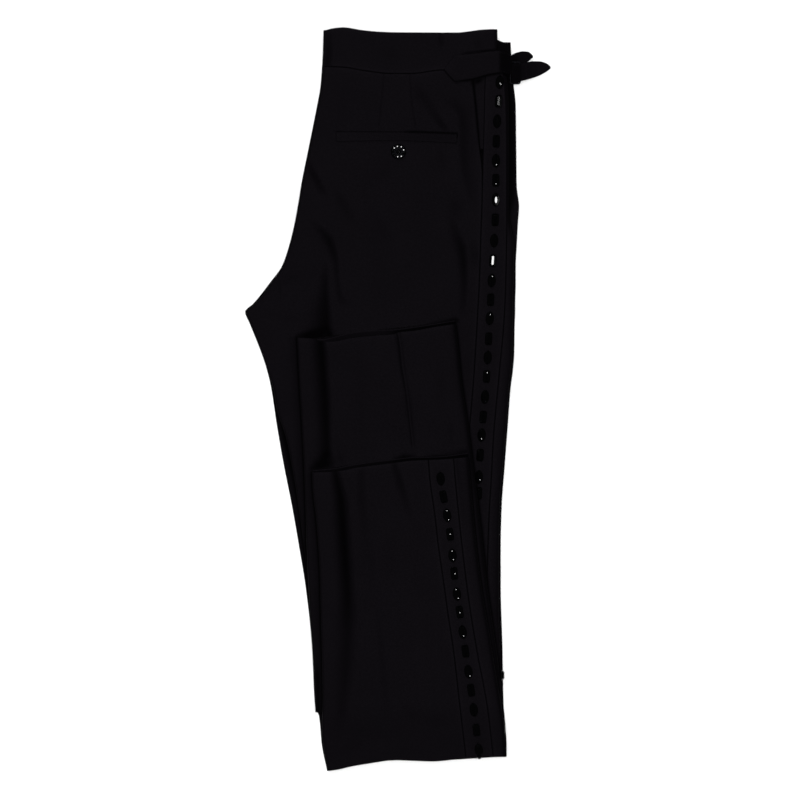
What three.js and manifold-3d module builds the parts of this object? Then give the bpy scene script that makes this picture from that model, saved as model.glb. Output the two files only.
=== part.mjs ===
// Straight-leg evening trousers in black wool crepe, with a jewelled stripe down each side seam.
// They lie folded: the left half under the right half, back of the right half uppermost, then the
// right leg turned up from its knee and the left leg turned up over it.
// Units are millimetres. +X is the wearer's side seam, +Y the waist, +Z up from the shelf.
// "down" is the distance down the garment from the top of the waistband, along -Y.

import * as THREE from 'three';
import { mergeVertices } from 'three/addons/utils/BufferGeometryUtils.js';
import Module from 'manifold-3d';

const wasm = await Module();
wasm.setup();

// ---------------------------------------------------------------- driving dimensions

const WAIST_Y = 370; // y of the top of the waistband
const CENTRE_X = 0.6; // the folded garment's middle, measured from its pressed centre line

const CLOTH = 1.3; // one visible layer of crepe with what backs it
const SEAM_GAP = 0.3; // between two pieces that meet
const LEFT_HALF = 3.1; // height of the left half, which lies flat at the bottom
const TURN = 3.9; // height that each further pair of layers adds
const ROLL = 1.8; // outside radius of a folded edge
const TUCK = 6; // how far a lower panel runs in under a turned-up leg
const RIGHT_FOLD = 682; // down to the fold of the right leg
const TURNUP_DROP = { from: 680, to: 718 }; // where the left turn-up comes down to its own leg

const BAND_CLOTH = 2.0; // waistband, which is double
const WELT = { from: -61, to: 60, cloth: 1.2 };
const BUTTON = { x: 1.5, down: 122, radius: 7.5, height: 4.4 };
const BUCKLE = { from: 112.4, to: 123.6, head: 31.5, foot: 54, low: 3.6, thick: 1.8, bar: 1.7 };
const STRAP_CLOTH = 1.3;

// Half length, half width and height of the two cuts of stone on the stripes, and the height
// of their sides and corners as a share of it.
const OVAL = { long: 6.6, wide: 4.3, rise: 3.2, shoulder: 0.6, corner: 0.15 };
const BATON = { long: 5.3, wide: 3.4, rise: 2.6, shoulder: 0.7, corner: 0.7 };

const rows = (names, values) => {
  const keys = names.split(' ');
  return values.map((row) => Object.fromEntries(keys.map((key, i) => [key, row[i]])));
};

// Outlines of the four levels, bottom to top: the edges at each distance down.
const LEFT_HALF_EDGES = rows('down left right', [
  [4, -73, 98], [12, -73.5, 111], [37, -75, 114], [56, -76.5, 116], [76, -80, 118],
  [116, -88, 118.5], [156, -96, 119], [176, -99, 121.3], [196, -103, 120], [216, -108, 119],
  [236, -115, 118], [252, -126, 118], [274, -143, 117.5], [281.5, -152, 117.5],
  [293, -147.5, 117], [324, -135, 116.5], [342, -129.5, 115], [357, -126, 113],
  [396, -120, 110], [436, -113, 107], [476, -105, 104], [516, -98, 103], [556, -91.5, 103],
  [616, -85, 105], [676, -82, 106], [686, -78, 107], [716, -75, 109], [740, -70, 109],
]);
const RIGHT_HALF_EDGES = rows('down left right', [
  [4, -73, 100], [40, -74.5, 100.2], [46, -75, 108.8], [56, -76, 110.5], [76, -79.5, 111.6],
  [116, -87.5, 112], [156, -95.5, 112], [187, -101, 112], [200, -103.5, 114.5], [216, -107.5, 117],
  [236, -114.5, 116.5], [252, -125, 116.5], [258, -129, 116], [274, -142, 116],
  [281.5, -151, 116], [293, -147, 115.5], [324, -135, 115], [342, -129, 113.5],
  [357, -124, 111.8], [379, -120, 110.3], [411, -110, 107.7], [436, -105, 105.7],
  [466, -100, 103], [525, -92, 101.6], [570, -87.5, 101.6], [620, -84, 103], [682, -80.5, 105],
]);
const RIGHT_TURNUP_EDGES = rows('down left right', [
  [290, -100.6, 58], [315, -99.5, 61], [346, -98, 64], [402, -94.6, 72], [434, -93, 75.5],
  [474, -91.5, 80.6], [518, -90.2, 86], [566, -87.8, 92.4], [588, -86.5, 95.3],
  [620, -84.3, 101.5], [650, -82.6, 103.6], [682, -81.5, 104.5],
]);
const LEFT_TURNUP_EDGES = rows('down left right', [
  [423, -85, 71], [455, -84.3, 74], [486, -81, 76.5], [516, -78.6, 79.5], [545, -77, 83],
  [569, -75.7, 86.5], [596, -74.3, 93.6], [631, -74.2, 100], [668, -74, 105],
  [700, -75, 108], [725, -72, 109], [740, -69.5, 109.3],
]);

// Edges that run across: the waist, the waistband's seam, the two hems and the left leg's fold.
// "edge" is the layer on top and "under" the layer below it.
const WAIST = rows('x edge under', [
  [-74, 2.5, 5], [-71, 0.8, 5], [-51, -0.4, 5], [-17, 3.6, 6], [32, 3.3, 6], [56, 4, 6],
  [93, 0.6, 5], [101, 1.4, 6],
]);
const BAND_SEAM = rows('x edge', [
  [-74, 37], [-54, 37.6], [-33, 41], [-6, 44], [14, 44], [46, 40.5], [104, 41],
]);
const RIGHT_HEM = rows('x edge under', [
  [-100, 306, 308], [-83, 307.5, 308.5], [-75, 310.4, 308.5], [-63, 310.6, 306.5],
  [-45, 307.6, 302.5], [-19, 305.2, 300], [-3, 304, 299.6], [3, 302, 299], [18, 300.5, 297],
  [37, 297, 294], [57, 294, 290.6],
]);
const LEFT_HEM = rows('x edge under', [
  [-84, 442, 440], [-65, 441.4, 438.5], [-37, 436.8, 433.4], [-2, 432.4, 429],
  [16, 430.2, 427], [40, 429.3, 426.5], [70, 427, 423],
]);
const LEFT_FOLD = rows('x edge', [
  [-70, 740], [-52, 738], [-37, 736], [-5, 731.4], [43, 730], [75, 727.2], [109, 726],
]);

// Seams that run down: the pocket mouth beside the hip and the jewelled stripes.
const POCKET_MOUTH = rows('down x', [
  [40, 74.5], [76, 78.5], [116, 82.2], [141, 85], [152, 85.2],
]);
const RIGHT_STRIPE = rows('down left right stones', [
  [46, 88.4, 106, 103.2], [52, 88, 107, 102.6], [71, 87.4, 108.4, 101.6], [92, 87, 109.2, 100],
  [121, 86.2, 109.5, 98.9], [170, 85.2, 109.5, 98.7], [204, 84, 109.4, 97.4], [250, 82.5, 108.6, 94.6],
  [288, 80.5, 107, 92.6], [346, 77, 101.8, 89.5], [411, 71.4, 96, 84], [450, 68.5, 94, 81.6],
  [486, 66, 91.8, 81], [556, 62, 89.6, 78],
]);
const LEFT_STRIPE = rows('down left right stones', [
  [423, 31, 56, 42], [449, 33, 58, 43.6], [485, 38, 61.5, 50], [512, 41, 64.4, 54],
  [551, 46.6, 69, 58], [583, 51, 73.5, 62.8], [620, 56.6, 79.6, 68.2], [676, 63, 90, 76.2],
  [722, 68.5, 95.6, 82], [740, 70.5, 98, 84],
]);

// First stone, spacing and number on each stripe; ovals and batons take turns.
const RIGHT_STONES = { first: 53, pitch: 19.6, count: 22 };
const LEFT_STONES = { first: 448.3, pitch: 19.2, count: 15 };
const MOUTH_LIFT = 0.5; // the pocket mouth stands a little open

// Soft troughs in each panel: a row for each point of a fold, depth below the panel there.
const fold = (values) => rows('x down half depth', values);
const SEAT_FOLDS = [
  fold([[-84, 151, 3, 0.2], [-71, 169, 4.5, 0.9], [-52, 178, 5, 0.2]]),
  fold([[-88, 192, 3, 0.3], [-73, 202, 5, 1.2], [-62, 224, 6, 1.5], [-57, 269, 6, 0.3]]),
  fold([[-71, 232, 5, 0.2], [-72, 268, 7, 1.2], [-77, 305, 10, 1.4]]),
  fold([[58, 200, 4, 0.3], [66, 224, 6, 1.2], [67, 282, 7, 0.3]]),
  fold([[22, 64, 4, 0.2], [39, 83, 6, 1.0], [51, 98, 5, 0.3]]),
  fold([[70, 104, 4, 0.2], [71, 124, 5, 0.8], [71, 142, 4, 0.2]]),
];
const RIGHT_TURNUP_FOLDS = [
  fold([[-79, 308, 7, 1.5], [-74, 372, 7, 1.5], [-72, 450, 7, 1.4]]),
];
const LEFT_TURNUP_FOLDS = [
  fold([[-60, 440, 6, 1.5], [-53, 500, 7, 1.5], [-48, 575, 8, 1.4], [-51, 640, 9, 0.3]]),
];
const PRESSED_CREASE = rows('down x', [
  [295, 0], [312, 3], [337, 6], [362, 10], [415, 16], [455, 21],
]);
const CREASE_RISE = 0.7;

const STRAPS = {
  tab: rows('x upper lower under', [
    [47.2, 39.4, 40.8, 8], [57.5, 26, 52, 8], [75, 24.4, 49.5, 8], [92, 22, 44.8, 8],
    [102, 21, 43.2, 8], [107, 22, 43.6, 7.2], [111, 24.5, 44.4, 5.8], [115, 26.5, 45, 5.75],
  ]),
  tail: rows('x upper lower under', [
    [117.2, 34, 51.2, 5.75], [124, 33.8, 50.4, 5.75], [129, 33.4, 49.4, 4.4],
    [136, 32.8, 47.4, 2.4], [142, 33, 45.4, 1.2], [148, 34.2, 42.6, 0.8], [152.8, 37, 38.4, 0.6],
  ]),
  under_tail: rows('x upper lower under', [
    [115.6, 24.4, 35, 1.9], [120, 22.6, 34.8, 1.5], [126, 21.8, 33, 1.0], [131, 22.6, 31, 0.7],
    [134.6, 25.2, 27, 0.5],
  ]),
};

// ---------------------------------------------------------------- curves and heights

const mix = (a, b, t) => a + (b - a) * t;
const clamp = (value, low, high) => Math.min(Math.max(value, low), high);
const smooth = (t) => t * t * (3 - 2 * t);

// A curve through a table's rows that never overshoots them.
function read(table, key, name, at) {
  const last = table.length - 1;
  const where = clamp(at, table[0][key], table[last][key]);
  let i = 0;
  while (i < last - 1 && where > table[i + 1][key]) i += 1;
  const slope = (j) => (table[j + 1][name] - table[j][name]) / (table[j + 1][key] - table[j][key]);
  const tangent = (j) => {
    if (j === 0 || j === last) return slope(Math.min(j, last - 1));
    const product = slope(j - 1) * slope(j);
    return product > 0 ? (2 * product) / (slope(j - 1) + slope(j)) : 0;
  };
  const span = table[i + 1][key] - table[i][key];
  const t = (where - table[i][key]) / span;
  const start = table[i][name] * (1 + 2 * t) + tangent(i) * span * t;
  const end = table[i + 1][name] * (3 - 2 * t) - tangent(i + 1) * span * (1 - t);
  return start * (1 - t) ** 2 + end * t ** 2;
}

function foldDepth(folds, x, down) {
  let total = 0;
  for (const path of folds) {
    let deepest = 0;
    for (let i = 0; i + 1 < path.length; i += 1) {
      const a = path[i];
      const b = path[i + 1];
      const run = { x: b.x - a.x, down: b.down - a.down };
      const along = (x - a.x) * run.x + (down - a.down) * run.down;
      const t = clamp(along / (run.x ** 2 + run.down ** 2), 0, 1);
      const away = Math.hypot(x - a.x - run.x * t, down - a.down - run.down * t);
      const depth = mix(a.depth, b.depth, t) * Math.exp(-((away / mix(a.half, b.half, t)) ** 2));
      deepest = Math.max(deepest, depth);
    }
    total += deepest;
  }
  return total;
}

const edge = (table, name = 'edge') => (x) => read(table, 'x', name, x);
const levels = {
  left_half: {
    edges: LEFT_HALF_EDGES,
    head: edge(WAIST, 'under'),
    foot: edge(LEFT_FOLD),
    top: () => LEFT_HALF,
    folds: [],
  },
  right_half: {
    edges: RIGHT_HALF_EDGES,
    head: edge(BAND_SEAM),
    under: edge(WAIST, 'under'),
    foot: () => RIGHT_FOLD - 2,
    top: () => LEFT_HALF + TURN,
    folds: SEAT_FOLDS,
  },
  right_turnup: {
    edges: RIGHT_TURNUP_EDGES,
    head: edge(RIGHT_HEM),
    under: edge(RIGHT_HEM, 'under'),
    foot: () => RIGHT_FOLD,
    top: () => LEFT_HALF + 2 * TURN,
    folds: RIGHT_TURNUP_FOLDS,
  },
  left_turnup: {
    edges: LEFT_TURNUP_EDGES,
    head: edge(LEFT_HEM),
    under: edge(LEFT_HEM, 'under'),
    foot: edge(LEFT_FOLD),
    top: (down) => {
      const t = clamp((down - TURNUP_DROP.from) / (TURNUP_DROP.to - TURNUP_DROP.from), 0, 1);
      return LEFT_HALF + mix(3, 1, smooth(t)) * TURN;
    },
    folds: LEFT_TURNUP_FOLDS,
  },
};

const side = (level, name, down) => read(level.edges, 'down', name, down);
const height = (level, x, down) => level.top(down) - foldDepth(level.folds, x, down);
const point = (x, down, z) => [x - CENTRE_X, WAIST_Y - down, z];

// How far down a row lies at x: rows follow the head and the foot of their level.
function rowDown(level, x, nominal, head = level.head) {
  const share = (nominal - head(0)) / (level.foot(0) - head(0));
  return mix(head(x), level.foot(x), share);
}

// The row that passes through a place.
function rowThrough(level, x, down) {
  const share = (down - level.head(x)) / (level.foot(x) - level.head(x));
  return mix(level.head(0), level.foot(0), share);
}

// The place where a line that runs down crosses a row.
function crossing(line, rowAt) {
  let down = rowAt(0);
  for (let k = 0; k < 5; k += 1) down = rowAt(line(down));
  return { x: line(down), down };
}

// A point of a hidden layer, a little in from one side of its level.
function spot(level, name, inset, rowAt, z) {
  const inward = name === 'left' ? inset : -inset;
  const place = crossing((down) => side(level, name, down) + inward, rowAt);
  return point(place.x, place.down, z(place.down));
}

// ---------------------------------------------------------------- meshes

function geometryOf(points, triangles) {
  const geometry = new THREE.BufferGeometry();
  geometry.setAttribute('position', new THREE.Float32BufferAttribute(points.flat(), 3));
  geometry.setIndex(triangles.flat());
  return geometry;
}

// Turns a closed mesh right side out.
function outward(points, triangles) {
  const volume = triangles.reduce((sum, [a, b, c]) => {
    const [p, q, r] = [points[a], points[b], points[c]];
    const cross = [q[1] * r[2] - q[2] * r[1], q[2] * r[0] - q[0] * r[2], q[0] * r[1] - q[1] * r[0]];
    return sum + p[0] * cross[0] + p[1] * cross[1] + p[2] * cross[2];
  }, 0);
  return geometryOf(points, volume > 0 ? triangles : triangles.map(([a, b, c]) => [a, c, b]));
}

// A wall of cloth from a grid of outer and inner points; keep() leaves out some of its cells.
function wall(grid, keep = () => true) {
  const across = grid[0].length;
  const count = grid.length * across;
  const points = [
    ...grid.flat().map((node) => node.outer),
    ...grid.flat().map((node) => node.inner),
  ];
  const triangles = [];
  const rim = new Map();
  const face = (a, b, c) => {
    triangles.push([a, b, c], [a + count, c + count, b + count]);
    for (const [p, q] of [[a, b], [b, c], [c, a]]) {
      if (!rim.delete(`${q} ${p}`)) rim.set(`${p} ${q}`, [p, q]);
    }
  };
  for (let i = 0; i + 1 < grid.length; i += 1) {
    for (let j = 0; j + 1 < across; j += 1) {
      if (keep(i, j)) {
        const a = i * across + j;
        face(a, a + across, a + across + 1);
        face(a, a + across + 1, a + 1);
      }
    }
  }
  for (const [p, q] of rim.values()) {
    triangles.push([q, p, p + count], [q, p + count, q + count]);
  }
  return outward(points, triangles);
}

// A wall with raised work on its outer face over a plain inner face, from rows of points.
function plainBackedWall(strip) {
  const across = strip[0].outer.length;
  const stride = across + 2;
  const points = strip.flatMap((row) => [...row.outer, ...row.inner]);
  const triangles = [];
  const quad = (a, b, c, d) => triangles.push([a, b, c], [a, c, d]);
  strip.forEach((row, i) => {
    const here = i * stride;
    const next = here + stride;
    if (i + 1 < strip.length) {
      for (let j = 0; j + 1 < across; j += 1) {
        quad(here + j, next + j, next + j + 1, here + j + 1);
      }
      const near = here + across;
      const far = next + across;
      quad(near, near + 1, far + 1, far);
      quad(here, near, far, next);
      quad(here + across - 1, next + across - 1, far + 1, near + 1);
    }
  });
  const lid = (start, flip) => {
    const fan = [];
    for (let j = 0; j + 1 < across; j += 1) fan.push([start + across, start + j, start + j + 1]);
    fan.push([start + across, start + across - 1, start + across + 1]);
    triangles.push(...fan.map(([a, b, c]) => (flip ? [a, c, b] : [a, b, c])));
  };
  lid(0, false);
  lid((strip.length - 1) * stride, true);
  return outward(points, triangles);
}

// A solid through closed sections that all have the same number of points.
function loft(sections) {
  const size = sections[0].length;
  const points = sections.flat();
  const triangles = [];
  for (let i = 0; i + 1 < sections.length; i += 1) {
    for (let j = 0; j < size; j += 1) {
      const a = i * size + j;
      const b = i * size + ((j + 1) % size);
      triangles.push([a, b, b + size], [a, b + size, a + size]);
    }
  }
  const lid = (section) => {
    const flat = section.map(([x, , z]) => new THREE.Vector2(x, z));
    return THREE.ShapeUtils.triangulateShape(flat, []);
  };
  const last = (sections.length - 1) * size;
  const first = lid(sections[0]);
  const facing = Math.sign(THREE.ShapeUtils.area(
    sections[0].map(([x, , z]) => new THREE.Vector2(x, z)),
  ));
  const flip = ([a, b, c]) => (facing > 0 ? [a, c, b] : [a, b, c]);
  const keep = ([a, b, c]) => (facing > 0 ? [a, b, c] : [a, c, b]);
  triangles.push(...first.map((face) => flip(face)));
  triangles.push(...lid(sections.at(-1)).map((face) => keep(face).map((k) => k + last)));
  return outward(points, triangles);
}

function solidOf(geometry) {
  const plain = geometry.clone();
  plain.deleteAttribute('normal');
  plain.deleteAttribute('uv');
  const merged = mergeVertices(plain, 1e-4);
  return new wasm.Manifold(new wasm.Mesh({
    numProp: 3,
    vertProperties: new Float32Array(merged.attributes.position.array),
    triVerts: new Uint32Array(merged.index.array),
  }));
}

function joined(geometries) {
  const mesh = geometries.map(solidOf).reduce((all, next) => all.add(next)).getMesh();
  const geometry = new THREE.BufferGeometry();
  geometry.setAttribute('position', new THREE.BufferAttribute(mesh.vertProperties, 3));
  geometry.setIndex(new THREE.BufferAttribute(mesh.triVerts, 1));
  return geometry;
}

// ---------------------------------------------------------------- cloth on a level

const FOLD_TURNS = [Math.PI / 2, Math.PI / 4]; // how far round a folded edge its points turn

// The outer and inner point of a wall at a place, on flat cloth or round its folded edges.
function node(level, place, { across = 0, along = 0, cloth = CLOTH, roll = ROLL, lift = 0 } = {}) {
  const { x, down } = place;
  const top = height(level, x, down) + lift;
  const at = (radius) => point(
    x + radius * Math.sin(across),
    down + radius * Math.sin(along),
    top - roll + radius * Math.cos(across) * Math.cos(along),
  );
  return { outer: at(roll), inner: at(roll - cloth) };
}

// A panel of cloth. Its rows are given by their distance down at the centre line, its columns
// by lines that run down and shares between them. A folded side starts or ends at the level's edge.
function panel(level, downs, { lines, parts, folds = '' }, options = {}) {
  const { keep, cloth = CLOTH, roll = ROLL, lift = () => 0 } = options;
  const bounds = [...lines];
  if (folds.includes('left')) bounds.unshift((down) => side(level, 'left', down) + roll);
  if (folds.includes('right')) bounds.push((down) => side(level, 'right', down) - roll);
  const columns = [{ line: bounds[0], across: 0 }];
  parts.forEach((shares, k) => shares.forEach((share) => columns.push({
    line: (down) => mix(bounds[k](down), bounds[k + 1](down), share), across: 0,
  })));
  for (const turn of [...FOLD_TURNS].reverse()) {
    if (folds.includes('left')) columns.unshift({ line: bounds[0], across: -turn });
    if (folds.includes('right')) columns.push({ line: bounds.at(-1), across: turn });
  }
  const plan = downs.map((nominal) => ({ nominal, along: 0 }));
  if (folds.includes('foot')) {
    plan.at(-1).nominal -= roll;
    for (const turn of [...FOLD_TURNS].reverse()) {
      plan.push({ nominal: downs.at(-1) - roll, along: turn });
    }
  }
  const grid = plan.map(({ nominal, along }) => columns.map(({ line, across }) => {
    const place = crossing(line, (x) => rowDown(level, x, nominal));
    const raised = lift(place.x, place.down);
    return node(level, place, { across, along, cloth, roll, lift: raised });
  }));
  return wall(grid, keep && ((i, j) => keep(plan[i + 1].nominal, j)));
}

const evenly = (count) => Array.from({ length: count }, (_, i) => (i + 1) / count);
const every = (from, to, count) => evenly(count).map((t) => mix(from, to, t));

// ---------------------------------------------------------------- the hidden layers

// One pair of hidden layers: lips at its edges, and its middle lower than the panel's folds.
// Each depth is below the panel on top; each inset is from the level's edge.
const LIP = { low: 3.6, high: 2.1, middle: 3.2, nose: 0.2, flat: 4, slope: 9 };

function slab(level, downs, { base } = {}) {
  const sections = downs.map((nominal, i) => {
    const short = i === downs.length - 1 ? LIP.nose : 0;
    const rowAt = (x) => rowDown(level, x, nominal, level.under) - short;
    const rise = (name) => {
      const at = (inset, depth) => spot(level, name, inset, rowAt, (down) => level.top(down) - depth);
      const profile = [
        at(1.2, LIP.low),
        at(LIP.nose, LIP.low - 0.4),
        at(LIP.nose, LIP.high + 0.3),
        at(0.6, LIP.high),
        at(LIP.flat, LIP.high),
        at(LIP.slope, LIP.middle),
      ];
      if (base !== undefined) profile.unshift(spot(level, name, 1.4, rowAt, () => base));
      return profile;
    };
    return [...rise('right'), ...rise('left').reverse()];
  });
  return loft(sections);
}

// A block that joins a pair of hidden layers to the pair below, clear of the tucked-in panel.
function pedestal(level, head, foot, inset, low, depth = LIP.middle + 0.2) {
  const sections = [0, ...evenly(8)].map((t) => {
    const rowAt = (x) => mix(head(x), foot(x), t);
    const high = (down) => level.top(down) - depth;
    return [
      spot(level, 'left', inset, rowAt, () => low),
      spot(level, 'right', inset, rowAt, () => low),
      spot(level, 'right', inset, rowAt, high),
      spot(level, 'left', inset, rowAt, high),
    ];
  });
  return loft(sections);
}

// The left half: two layers with rounded lips, flat where they rest.
function leftHalfLayers() {
  const level = levels.left_half;
  const foot = level.foot(0);
  const downs = level.edges.map((row) => row.down).filter((down) => down > 6 && down < foot - 4);
  const sections = [level.head(0), ...downs, foot].map((nominal) => {
    const rowAt = (x) => rowDown(level, x, nominal);
    const profile = [
      [0.7, 0], [0, 0.5], [0.1, 1.2], [0.9, 1.5], [0.9, 1.7], [0.2, 2.1], [0.3, 2.7],
      [1, LEFT_HALF],
    ];
    const rise = (name) => profile.map(([inset, z]) => spot(level, name, inset, rowAt, () => z));
    return [...rise('right'), ...rise('left').reverse()];
  });
  return loft(sections);
}

function hiddenLayers() {
  const half = levels.right_half;
  const right = levels.right_turnup;
  const left = levels.left_turnup;
  const halfDowns = half.edges.map((row) => row.down).filter((down) => down > 9 && down < 670);
  const tuckedIn = 24; // how far below a hem its pedestal starts
  const drop = TURNUP_DROP.from;
  return joined([
    leftHalfLayers(),
    slab(half, [half.under(0), ...halfDowns, half.foot(0)], { base: LEFT_HALF - 0.3 }),
    pedestal(right, (x) => right.head(x) + tuckedIn, () => RIGHT_FOLD - 4, TUCK + 1, 3.5),
    slab(right, [right.under(0), ...every(right.under(0), RIGHT_FOLD, 13)]),
    pedestal(left, (x) => left.head(x) + tuckedIn, () => RIGHT_FOLD - 6, TUCK + 1, 7.4),
    slab(left, [
      left.under(0), ...every(left.under(0), drop - 14, 9), ...every(drop - 14, left.foot(0), 16),
    ]),
    pedestal(left, () => drop + 18, (x) => left.foot(x) - 3, 3, LEFT_HALF - 0.3, LIP.high + 0.4),
  ]);
}

// ---------------------------------------------------------------- right half, back uppermost

const SEAT_TUCK = rows('down x', [[36, -46], [120, -54], [200, -72], [250, -92], [300, -94.5]]);
const SEAT_DOWNS = [
  44, 54, 66, 78, 90, 102, 114, 126, 138, 150, 162, 172, 181, 190, 199, 208, 217, 226, 236,
  246, 256, 266, 274, 281.5, 290, 302, 314,
];
const LEG_DOWNS = [330, 345, 357, 379, 400, 418, 440, 466, 496, 525, 560, 600, 640, 680];
const MOUTH_END = 152; // where the pocket mouth closes on the stripe's seam
const STRIP_END = 418; // where the turned-up leg covers the panel beside the stripe

const stripeLine = (table, name, offset = 0) => (down) => read(table, 'down', name, down) + offset;
const turnupTuck = (down) => side(levels.right_turnup, 'right', Math.max(down, 300)) - TUCK;

function pocketMouth(down) {
  const seam = stripeLine(RIGHT_STRIPE, 'left', -SEAM_GAP)(down);
  return down < MOUTH_END ? Math.min(read(POCKET_MOUTH, 'down', 'x', down), seam) : seam;
}

function backRight() {
  const leftTuck = (down) => (down < 300
    ? read(SEAT_TUCK, 'down', 'x', down) : side(levels.right_turnup, 'left', down) + TUCK);
  const rightTuck = (down) => Math.min(turnupTuck(down), pocketMouth(down) - 1);
  const parts = [
    [0.25, 0.6, 1],
    [0.04, 0.08, 0.12, 0.16, 0.2, 0.24, 0.29, 0.36, 0.46, 0.58, 0.7, 0.85, 1],
    evenly(5),
  ];
  const leftStrip = FOLD_TURNS.length + parts[0].length;
  const rightStrip = leftStrip + parts[1].length;
  const keep = (down, column) => down <= SEAT_DOWNS.at(-1)
    || column < leftStrip || (column >= rightStrip && down <= STRIP_END);
  const lift = (x, down) => {
    const open = clamp((MOUTH_END - down) / 30, 0, 1);
    return MOUTH_LIFT * open * Math.exp(-(((x - pocketMouth(down)) / 5) ** 2));
  };
  const span = { lines: [leftTuck, rightTuck, pocketMouth], parts, folds: 'left' };
  return panel(levels.right_half, [...SEAT_DOWNS, ...LEG_DOWNS], span, { keep, lift });
}

// The pocket's facing, which shows as a wedge between the open mouth and the stripe.
function pocketFacing() {
  const mouth = (down) => pocketMouth(down) + SEAM_GAP;
  const seam = stripeLine(RIGHT_STRIPE, 'left', -SEAM_GAP);
  const span = { lines: [mouth, seam], parts: [[0.5, 1]] };
  return panel(levels.right_half, [48, 58, 72, 86, 100, 112, 122], span);
}

function frontRightEdge() {
  const inner = (down) => Math.max(stripeLine(RIGHT_STRIPE, 'right', SEAM_GAP)(down), turnupTuck(down));
  const span = { lines: [inner], parts: [[0.5, 1]], folds: 'right' };
  const downs = [49, 66, 90, 130, 165, 187, 194, 200, 208, 216, 236, 266, 300, 340, 380];
  return panel(levels.right_half, [...downs, ...LEG_DOWNS.slice(4)], span);
}

// A stripe with its stones raised in the outer points.
function stripe(level, table, stones, { head, foot, covered = () => -Infinity, folded = false }) {
  const cutOf = (k) => (k % 2 === 0 ? OVAL : BATON);
  const centreOf = (k) => stones.first + k * stones.pitch;
  const nearest = (down) => {
    const k = Math.round((down - stones.first) / stones.pitch);
    return clamp(k, 0, stones.count - 1);
  };
  const steps = [-1.12, -1, -0.55, 0.55, 1, 1.12];
  const downs = [head];
  for (let k = 0; k < stones.count; k += 1) {
    downs.push(...steps.map((step) => centreOf(k) + step * cutOf(k).long));
  }
  const plainEnd = Math.max(1, Math.round((foot - downs.at(-1)) / 25));
  downs.push(...every(downs.at(-1), foot, plainEnd));
  const plan = downs.map((down) => ({ down, along: 0 }));
  if (folded) {
    plan.at(-1).down -= ROLL;
    for (const turn of [...FOLD_TURNS].reverse()) plan.push({ down: foot - ROLL, along: turn });
  }
  const middle = stripeLine(table, 'stones');
  const columns = [-1.25, -1, -0.55, 0.55, 1, 1.25];
  return plainBackedWall(plan.map(({ down, along }) => {
    const k = nearest(down);
    const cut = cutOf(k);
    const row = rowThrough(level, middle(down), down);
    const left = (at) => Math.max(stripeLine(table, 'left')(at), covered(at) - TUCK);
    const right = stripeLine(table, 'right');
    const lines = [left, ...columns.map((step, j) => (at) => clamp(
      middle(at) + step * cut.wide,
      left(at) + 0.2 * (j + 1),
      right(at) - 0.2 * (columns.length - j),
    )), right];
    const beyond = Math.abs(down - centreOf(k)) / cut.long;
    const nodes = lines.map((line, j) => {
      const place = crossing(line, (x) => rowDown(level, x, row));
      const aside = j === 0 || j === lines.length - 1 ? Infinity : Math.abs(columns[j - 1]);
      const bare = along > 0 || aside > 1 || beyond > 1.01 || place.x < covered(place.down) + 0.5;
      const isSide = aside > 0.9;
      const isEnd = beyond > 0.9;
      const share = isSide && isEnd ? cut.corner : (isSide || isEnd ? cut.shoulder : 1);
      const flat = node(level, place, { along });
      const [x, y, z] = flat.outer;
      return { outer: [x, y, z + (bare ? 0 : share * cut.rise)], inner: flat.inner };
    });
    return {
      outer: nodes.map((item) => item.outer),
      inner: [nodes[0].inner, nodes.at(-1).inner],
    };
  }));
}

function rightStripe() {
  const covered = (down) => (down > 400 ? side(levels.right_turnup, 'right', down) : -Infinity);
  return stripe(levels.right_half, RIGHT_STRIPE, RIGHT_STONES, { head: 45, foot: 552, covered });
}

// ---------------------------------------------------------------- the turned-up legs

function frontRightTurnup() {
  const level = levels.right_turnup;
  const cover = levels.left_turnup;
  const covered = 448; // the left turn-up hides the middle of the panel from here down
  const crease = (down) => read(PRESSED_CREASE, 'down', 'x', down);
  const leftTuck = (down) => (down < covered ? -78.8 : side(cover, 'left', down) + TUCK);
  const rightTuck = (down) => Math.min(
    side(cover, 'right', Math.max(down, 430)) - TUCK,
    side(level, 'right', down) - ROLL - 2,
  );
  const parts = [
    [0.35, 0.7, 1],
    [0.03, 0.06, 0.1, 0.14, 0.19, 0.26, 0.45, 0.7, 0.96, 1],
    [0.06, 0.35, 0.7, 1],
    [1],
  ];
  const leftStrip = FOLD_TURNS.length + parts[0].length;
  const rightStrip = leftStrip + parts[1].length + parts[2].length;
  const keep = (down, column) => down <= covered || column < leftStrip || column >= rightStrip;
  const lift = (x, down) => {
    const shown = clamp((425 - down) / 12, 0, 1); // pressed flat under the other hem
    return CREASE_RISE * shown * Math.exp(-(((x - crease(down)) / 2) ** 2));
  };
  const downs = [
    level.head(0), 306, 317, 332, 352, 374, 396, 415, 432, covered,
    470, 495, 520, 545, 566, 588, 610, 632, 655, level.foot(0),
  ];
  const span = { lines: [leftTuck, crease, rightTuck], parts, folds: 'left right foot' };
  return panel(level, downs, span, { keep, lift });
}

const TURNUP_DOWNS = [
  levels.left_turnup.head(0), 435, 450, 468, 488, 510, 532, 555, 578, 602, 626, 648, 665, 676,
  684, 691, 698, 705, 712, 720, levels.left_turnup.foot(0),
];

function backLeftTurnup() {
  const parts = [[0.04, 0.08, 0.12, 0.155, 0.19, 0.225, 0.26, 0.3, 0.36, 0.46, 0.62, 0.8, 1]];
  const seam = stripeLine(LEFT_STRIPE, 'left', -SEAM_GAP);
  return panel(levels.left_turnup, TURNUP_DOWNS, { lines: [seam], parts, folds: 'left foot' });
}

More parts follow.
